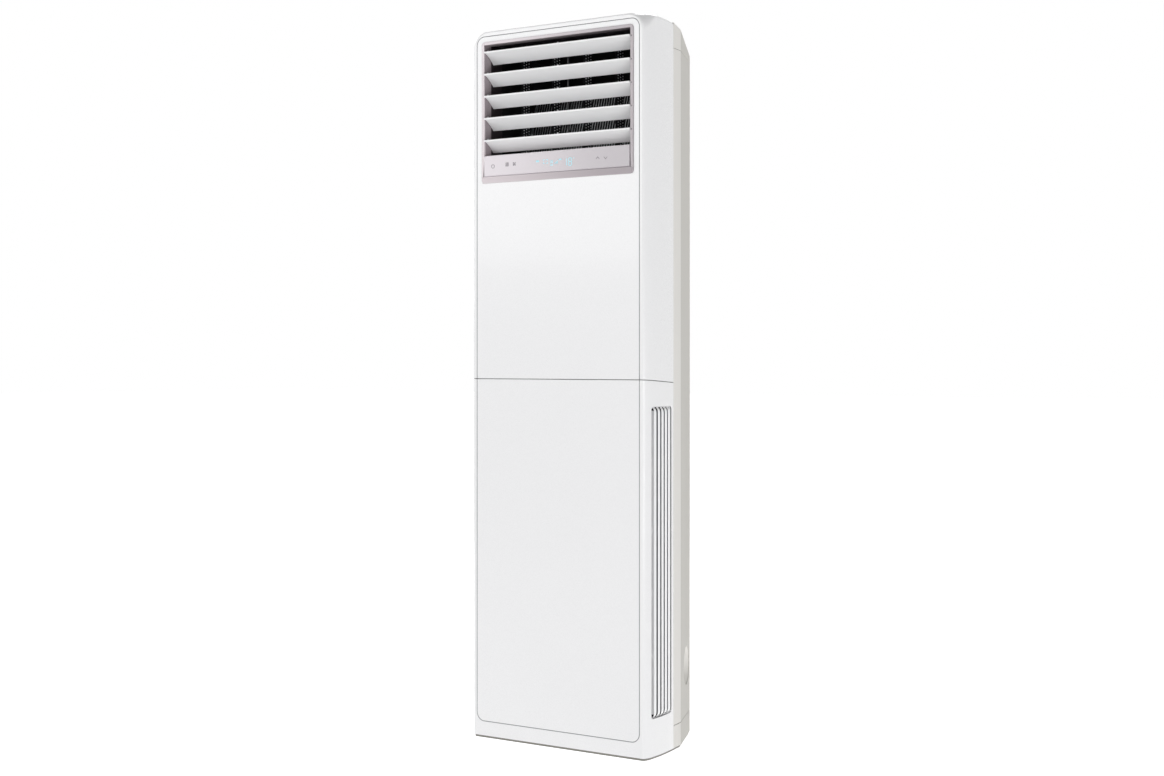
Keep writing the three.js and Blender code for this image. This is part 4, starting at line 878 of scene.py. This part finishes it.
def buildLouvers():
    half, soft = louver["half"], louver["softEdge"]

    def raiseOutline(bm, outline, low, high):
        moved = [(louver["axisDepth"] + u, louver["axisHeight"] + v) for u, v in outline]
        prismMesh(bm, moved, *sorted((low, high)), "x")
    bm = bmesh.new()
    raiseOutline(bm, louverSection(), -half, half)
    blade = linkPiece("blade", bm, "louverWhite")
    bm = bmesh.new()
    (noseU, noseV), (deep, tall) = louver["nose"], louver["lip"]
    lip = roundedOutline(noseU - deep, noseV - tall, noseU + deep, noseV + tall, louver["lipRadius"], 5)
    raiseOutline(bm, lip, -half - louver["lipOver"], half + louver["lipOver"])
    for side in (-1, 1):
        inside = side * (half - louver["lug"])
        raiseOutline(bm, lugOutline(False), side * half, inside)
        raiseOutline(bm, circleOutline(0, 0, louver["pin"], 14), inside, side * louver["pinEnd"])
    raiseOutline(bm, lugOutline(True), -louver["lug"] / 2, louver["lug"] / 2)
    raiseOutline(bm, circleOutline(louver["armReach"], -louver["armFall"], louver["linkPin"], 12),
                 0, louver["linkPinEnd"])
    fittings = linkPiece("fittings", bm, "louverWhite")
    for piece in (blade, fittings):
        softenEdges(piece, soft, angle=housing["softAngle"])
    pieces = [joinInto("louver_1_skin", [blade, fittings])]
    for i in range(1, louver["count"]):
        mesh = pieces[0].data.copy()
        for vert in mesh.vertices:
            vert.co.z -= i * louver["pitch"] * mm
        pieces.append(newPiece("louver_%d_skin" % (i + 1), mesh))
    for i, piece in enumerate(pieces):
        standFor(piece, "louver_%d" % (i + 1))


buildLouvers()
print("stage: louvres")

# bezel, control panel, duct and covers, with painted shade, painted highlight and painted light on some of their
# faces

covers = ("rear_side_right", "rear_side_left", "rear_base_cover", "rear_top_cap")
refined = {
    "outlet_bezel": ("trimRose", 0.6), "control_panel": ("panelGloss", 0.9),
    "outlet_duct": ("ductBrown", 0.4), "rear_side_right": ("rearGrey", 0.9),
    "rear_side_left": ("rearGrey", 0.9), "back_panel": ("rearGrey", 0.6),
    "rear_base_cover": ("rearGrey", 0.9), "rear_top_cap": ("rearGrey", 0.9),
    "hand_hold_cup_right": ("cupPaintedLight", 0), "hand_hold_cup_left": ("cupPaintedLight", 0),
    "pipe_grommet": ("rubberBlack", 0.4), "base_pan": ("paintedBase", 0.6),
}
bezel = {
    "flange": -2.0, "flangeRear": 0.1, "rimX": 234, "rimZ": 184, "middle": 1637,
    "revealFront": 1.5, "revealX": 236, "revealBottom": 1500, "revealTop": 1825, "inward": -100,
}
panelFlat = 0.97  # from here on a face of the panel is no longer one of its edges
band = {"rear": 210, "across": 0.5}  # the flat strip behind the housing: how deep it reaches, how it faces

skins = {node: refine(node, finish, width) for node, (finish, width) in refined.items()}
# painted shade on the reveal's inward faces
paintFaces(skins["outlet_bezel"], "revealPaintedShade", lambda x, depth, z, normal: (
    depth > bezel["revealFront"] and abs(x) < bezel["revealX"] and x * normal.x < bezel["inward"]
    and bezel["revealBottom"] < z < bezel["revealTop"]))
# painted shade: the flange's outer side faces and edge bevels are darker, as a dark outline round the trim
paintFaces(skins["outlet_bezel"], "trimRimPaintedShade", lambda x, depth, z, normal: (  # the flange's outer rim
    depth < bezel["flangeRear"] and normal.y > -straight and (
        abs(x) > bezel["rimX"] and abs(normal.x) > leaning
        or abs(z - bezel["middle"]) > bezel["rimZ"] and abs(normal.z) > leaning)))
# painted highlight on the panel's top and left bevels
paintFaces(skins["control_panel"], "panelEdgeHighlight", lambda x, depth, z, normal: (
    depth < bezel["flange"] and (leaning < normal.z < panelFlat or -panelFlat < normal.x < -leaning)))
# painted light on the side-facing strip of each cover
for node in covers:
    paintFaces(skins[node], "bandPaintedLight", lambda x, depth, z, normal: (
        abs(normal.x) > band["across"] and abs(normal.y) < leaning and depth < band["rear"]))

# marks on the bezel and the control panel; spots are x and z in mm

pivots = {"x": 230.2, "drop": 5.3, "radius": 1.7, "lift": 0.1}
marks = {
    "face": -4.0, "lift": 0.12, "stroke": 1.2,
    "power": (-197, 1495.5), "ring": 4.8, "ringStroke": 1.3, "ringGap": 56, "dash": (1.6, 6.2),
    "mode": (-151, 1497.5), "grid": 4.8, "gridFirst": -4.2, "gridPitch": 2.8, "gridLines": 4,
    "gridStroke": 0.9,
    "fan": (-128, 1497.5), "fanRadius": 5.6,
    "up": (131, 1496.7), "down": (154.6, 1495.2), "arrow": (5.2, 2.8),
}
fanBlade = ((0.25, -22), (0.7, -34), (1.0, -12), (1.0, 18), (0.6, 24), (0.25, 20))  # reach and lean
display = {
    "bars": [(-59, 1497.2, -49, 1502, 1.4), (-14.6, 1486.0, -5.6, 1488.8, 1.0), (12.2, 1498, 21, 1502, 1.2)],
    "frame": (-29, 1497.6), "frameHalf": (6.6, 4.6), "frameArms": (4.6, 3.2), "frameStroke": 1.9,
    "fan": (-10, 1495.4), "fanRadius": 5.2,
    "steps": 4, "stepSpot": (-1.4, 1490), "stepPitch": 2.9, "stepWidth": 2.1, "stepLow": 2.2, "stepRise": 1.9,
    "digits": [(35.2, "bc", 5.0), (47.2, "abcdefg", 11.0)], "digitHeight": 21.0, "digitMiddle": 1492.5,
    "digitStroke": 2.2, "digitGap": 0.4, "degree": (58.2, 1501.6), "degreeRadius": 1.3, "degreeStroke": 0.8,
}


def buildPivotMarks():
    # painted shade: dark discs where the louvres' pins sink into the flange
    bm = bmesh.new()
    for i in range(louver["count"]):
        z = louver["axisHeight"] - pivots["drop"] - i * louver["pitch"]
        prismMesh(bm, circleOutline(pivots["x"], z, pivots["radius"], 16),
                  bezel["flange"] - pivots["lift"], bezel["flange"] + pivots["lift"], "depth")
    attach(linkPiece("pivot_marks", bm, "pivotPaintedShade"), "cabinet")


def strokeOutline(start, end, width):
    run = Vector((end[0] - start[0], end[1] - start[1]))
    side = Vector((-run.y, run.x)).normalized() * (width / 2)
    return [(start[0] - side.x, start[1] - side.y), (end[0] - side.x, end[1] - side.y),
            (end[0] + side.x, end[1] + side.y), (start[0] + side.x, start[1] + side.y)]


def arcOutline(x, z, radius, width, start, sweep, steps=24):
    # one closed band round an arc
    turns = [start + sweep * i / steps for i in range(steps + 1)]
    return arcPoints(x, z, radius + width / 2, turns) + arcPoints(x, z, radius - width / 2, turns)[::-1]


def fanOutlines(x, z, radius):
    outlines = [circleOutline(x, z, radius * 0.2, 12)]
    for start in (45, 135, 225, 315):
        outlines.append([arcPoints(x, z, radius * reach, [start + lean])[0] for reach, lean in fanBlade])
    return outlines


def digitOutlines(x, z, lit, width):
    # seven bars, named from the top clockwise with the middle last
    stroke = display["digitStroke"]
    half, rise = width / 2 - stroke / 2, display["digitHeight"] / 2 - stroke / 2
    ends = {
        "a": ((-half, rise), (half, rise)), "b": ((half, rise), (half, 0)), "c": ((half, 0), (half, -rise)),
        "d": ((-half, -rise), (half, -rise)), "e": ((-half, 0), (-half, -rise)),
        "f": ((-half, rise), (-half, 0)), "g": ((-half, 0), (half, 0)),
    }
    outlines = []
    for name in lit:
        (x0, z0), (x1, z1) = ends[name]
        run = Vector((x1 - x0, z1 - z0)).normalized() * display["digitGap"]
        start, end = (x + x0 + run.x, z + z0 + run.y), (x + x1 - run.x, z + z1 - run.y)
        outlines.append(strokeOutline(start, end, stroke))
    return outlines


def attachMarks(name, outlines, finish):
    bm = bmesh.new()
    for outline in outlines:
        prismMesh(bm, outline, marks["face"] - marks["lift"], marks["face"], "depth")
    attach(linkPiece(name, bm, finish), "cabinet")


def buildPrintedMarks():
    (x, z), (low, high) = marks["power"], marks["dash"]
    outlines = [
        arcOutline(x, z, marks["ring"], marks["ringStroke"], 90 + marks["ringGap"] / 2,
                   360 - marks["ringGap"]),
        strokeOutline((x, z + low), (x, z + high), marks["stroke"])]
    (x, z), half = marks["mode"], marks["grid"]
    for i in range(marks["gridLines"]):
        step = marks["gridFirst"] + i * marks["gridPitch"]
        outlines.append(strokeOutline((x - half, z + step), (x + half, z + step), marks["gridStroke"]))
        outlines.append(strokeOutline((x + step, z - half), (x + step, z + half), marks["gridStroke"]))
    outlines += fanOutlines(*marks["fan"], marks["fanRadius"])
    across, tall = marks["arrow"]
    for name, rise in (("up", tall), ("down", -tall)):
        x, z = marks[name]
        for side in (-1, 1):
            outlines.append(strokeOutline((x + side * across, z - rise), (x, z + rise), marks["stroke"]))
    attachMarks("panel_print", outlines, "printGrey")


def buildDisplay():
    outlines = [roundedOutline(*bar, 4) for bar in display["bars"]]
    (halfX, halfZ), (armX, armZ), stroke = display["frameHalf"], display["frameArms"], display["frameStroke"]
    for sideX in (-1, 1):
        for sideZ in (-1, 1):
            x, z = display["frame"][0] + sideX * halfX, display["frame"][1] + sideZ * halfZ
            outlines.append(strokeOutline((x, z), (x - sideX * armX, z), stroke))
            outlines.append(strokeOutline((x, z + sideZ * stroke / 2), (x, z - sideZ * armZ), stroke))
    outlines += fanOutlines(*display["fan"], display["fanRadius"])
    for i in range(display["steps"]):
        x, z = display["stepSpot"][0] + i * display["stepPitch"], display["stepSpot"][1]
        right, top = x + display["stepWidth"], z + display["stepLow"] + display["stepRise"] * i
        outlines.append([(x, z), (right, z), (right, top), (x, top)])
    for x, lit, width in display["digits"]:
        outlines += digitOutlines(x, display["digitMiddle"], lit, width)
    outlines.append(arcOutline(*display["degree"], display["degreeRadius"], display["degreeStroke"],
                               0, 359.9, 16))
    attachMarks("panel_display", outlines, "displayLight")


buildPivotMarks()
buildPrintedMarks()
buildDisplay()
print("stage: panel and covers")

# vanes, with rows of small studs on both faces, their near-white tone a painted highlight on the black vanes

vane = {
    "count": 4, "pitch": 98, "first": -147, "half": 1.1, "softEdge": 0.3, "studDepth": 75, "bottom": 1526,
    "rows": 38, "columns": 3, "rowPitch": 7.4, "columnPitch": 11, "radius": 1.8, "sides": 8,
    "flat": 0.55, "rise": 0.6,  # a stud's top and height, as shares of its radius
}


def buildStudTree():
    # staggered rows of small domes on an upright plane
    tree, parts, identifiers = newTree("GeometryNodeTree", "studRows", {
        "Rows": ("Int", 10), "Columns": ("Int", 3), "Row Pitch": ("Float", 0.007),
        "Column Pitch": ("Float", 0.011), "Radius": ("Float", 0.001), "Centre": ("Vector", (0, 0, 0)),
        "Facing": ("Float", 1.0), "Finish": ("Material", None)}, {"Geometry": "Geometry"})
    parts |= addNodes(tree, {
        "grid": "GeometryNodeMeshGrid", "index": "GeometryNodeInputIndex", "stagger": "ShaderNodeCombineXYZ",
        "shift": "GeometryNodeSetPosition", "face": "ShaderNodeCombineXYZ",
        "turn": ("GeometryNodeTransform", {"Rotation": (0, math.radians(-90), 0)}),
        "dome": ("GeometryNodeMeshCone", {"Vertices": vane["sides"], "Side Segments": 1}),
        "spread": "GeometryNodeInstanceOnPoints"})
    given = parts["start"].outputs
    column = mathNode(tree, "FLOORED_MODULO", parts["index"].outputs[0], given["Columns"])
    half = mathNode(tree, "MULTIPLY", given["Row Pitch"], 0.5)
    rows, columns = [mathNode(tree, "SUBTRACT", given[label], 1.0) for label in ("Rows", "Columns")]
    for part, entry, first, second in (
            ("grid", "Size X", rows, given["Row Pitch"]), ("grid", "Size Y", columns, given["Column Pitch"]),
            ("stagger", "X", mathNode(tree, "MODULO", column, 2.0), half),
            ("dome", "Radius Top", given["Radius"], vane["flat"]),
            ("dome", "Depth", given["Radius"], vane["rise"]),
            ("face", "Y", given["Facing"], math.pi / 2)):
        tree.links.new(mathNode(tree, "MULTIPLY", first, second), parts[part].inputs[entry])
    wire(tree, parts, "start.Rows > grid.Vertices X", "start.Columns > grid.Vertices Y",
         "grid.Mesh > shift.Geometry", "stagger.0 > shift.Offset", "shift.0 > turn.Geometry",
         "start.Centre > turn.Translation", "start.Radius > dome.Radius Bottom", "turn.0 > spread.Points",
         "dome.Mesh > spread.Instance", "face.0 > spread.Rotation")
    endTree(tree, parts)
    return tree, identifiers


def buildVanes():
    tree, identifiers = buildStudTree()
    middle = vane["bottom"] + (vane["rows"] - 1) * vane["rowPitch"] / 2
    for i in range(vane["count"]):
        node = "vane_%d" % (i + 1)
        refine(node, "blackAndPaintedShade", vane["softEdge"])
        x = vane["first"] + i * vane["pitch"]
        faces = [growPiece("studs", tree, identifiers, {
            "Rows": vane["rows"], "Columns": vane["columns"], "Row Pitch": vane["rowPitch"] * mm,
            "Column Pitch": vane["columnPitch"] * mm, "Radius": vane["radius"] * mm, "Facing": float(side),
            "Centre": place(x + side * vane["half"], vane["studDepth"], middle),
            "Finish": finishes["studHighlight"]}) for side in (-1, 1)]
        attach(joinInto(node + "_studs", faces), node)


buildVanes()
print("stage: vanes")

# coil behind the outlet: bare fin edges, with painted shade (black) on the fin sides and in the gaps between
# them

fins = {"pitch": 8, "edge": 1.6}


def buildCoil():
    coil = refine("evaporator_coil", "finAluminium", 0)
    low = min(vert.co.x for vert in coil.data.vertices) / mm
    # painted shade: all but a thin edge of each fin pitch is black
    paintFaces(coil, "blackAndPaintedShade", lambda x, depth, z, normal: (
        normal.y < 0.5 and (abs(normal.x) > straight or (x - low) % fins["pitch"] > fins["edge"])))


buildCoil()
print("stage: coil")

# screws that hold the rear covers; spots are x and z in mm

screws = {
    "radius": 3.6, "height": 1.9, "steps": 20, "slot": 0.9, "slotReach": 0.55, "slotDepth": 1.1,
    # shares of the radius and the height
    "profile": [(0.45, 0.97), (0.78, 0.82), (0.95, 0.5), (1.0, 0.12), (1.0, 0.0)],
    "depth": 350, "sideX": 178, "sideHeights": (84, 320, 640, 960, 1280, 1600, 1762),
    "across": ((-110, 1788), (0, 1788), (110, 1788), (-110, 56), (0, 56)),
}


def screwPiece():
    # pan head with a cross recess, its axis along z
    bm = bmesh.new()
    radius, height, steps = screws["radius"], screws["height"], screws["steps"]
    rings = [[bm.verts.new((radius * share * math.cos(math.tau * i / steps) * mm,
                            radius * share * math.sin(math.tau * i / steps) * mm, height * rise * mm))
              for i in range(steps)] for share, rise in screws["profile"]]
    bm.faces.new(rings[0])
    for inner, outer in zip(rings, rings[1:]):
        bridgeRings(bm, outer, inner)
    bm.faces.new(list(reversed(rings[-1])))
    bmesh.ops.recalc_face_normals(bm, faces=bm.faces)
    head = linkPiece("screwHead", bm, "screwSteel")
    long, short = radius * screws["slotReach"] * mm, screws["slot"] / 2 * mm
    for x, y in ((long, short), (short, long)):
        bm = bmesh.new()
        bmesh.ops.create_cube(bm, size=2)
        for vert in bm.verts:
            vert.co = Vector((vert.co.x * x, vert.co.y * y, (height + vert.co.z * screws["slotDepth"]) * mm))
        carve(head, linkPiece("recess", bm, "screwSteel"))
    smoothByAngle(head, housing["softAngle"])
    return head


def buildScrewTree():
    # one screw on each point, its axis along the point's aim
    tree, parts, identifiers = newTree("GeometryNodeTree", "screwSet", {
        "Geometry": ("Geometry", None), "Screw": ("Object", None), "Finish": ("Material", None),
    }, {"Geometry": "Geometry"})
    parts |= addNodes(tree, {
        "aim": ("GeometryNodeInputNamedAttribute", {"data_type": "FLOAT_VECTOR", "Name": "aim"}),
        "align": ("FunctionNodeAlignRotationToVector", {"axis": "Z"}), "source": "GeometryNodeObjectInfo",
        "spread": "GeometryNodeInstanceOnPoints"})
    wire(tree, parts, "aim.0 > align.Vector", "start.Screw > source.Object", "start.Geometry > spread.Points",
         "source.Geometry > spread.Instance", "align.0 > spread.Rotation")
    endTree(tree, parts)
    return tree, identifiers


def buildScrews():
    tree, identifiers = buildScrewTree()
    spots = [(side * screws["sideX"], z) for side in (-1, 1) for z in screws["sideHeights"]]
    spots = [place(x, screws["depth"], z) for x, z in (*spots, *screws["across"])]
    points = bpy.data.meshes.new("screwSpots")
    points.from_pydata(spots, [], [])
    aims = points.attributes.new("aim", "FLOAT_VECTOR", "POINT")
    for item in aims.data:
        item.vector = (0, 1, 0)
    head = screwPiece()
    piece = growPiece("rear_screws", tree, identifiers, {
        "Screw": head, "Finish": finishes["screwSteel"]}, points)
    bpy.data.objects.remove(head)
    attach(piece, "cabinet")


buildScrews()
print("stage: screws")

# finishes of the CAD pieces that keep their own shape

kept = {
    "filterCloth": ("air_filter_right", "air_filter_left"),
    "zincSheet": ("frame_post_right", "frame_post_left", "blower_housing", "partition_shelf", "louver_motor",
                  "vane_motor", "coil_plate_right", "coil_plate_left", "electrical_box", "electrical_cover"),
    "blackAndPaintedShade": ("inlet_ring", "blower_wheel", "louver_link", "vane_link", "drain_pan"),
    "foamBlack": ("foam_liner",), "screwSteel": ("motor_shaft",), "motorPaint": ("blower_motor",),
    "boardGreen": ("control_board",), "copperTube": ("gas_pipe", "liquid_pipe"),
    "turnedBrass": ("gas_flare_nut", "liquid_flare_nut"),
}
for finish, nodes in kept.items():
    for node in nodes:
        piece = frame["nodes"][node]
        if not piece.data.materials:
            piece.data.materials.append(finishes[finish])
        for slot in piece.material_slots:
            slot.material = finishes[finish]

print("stage: done")
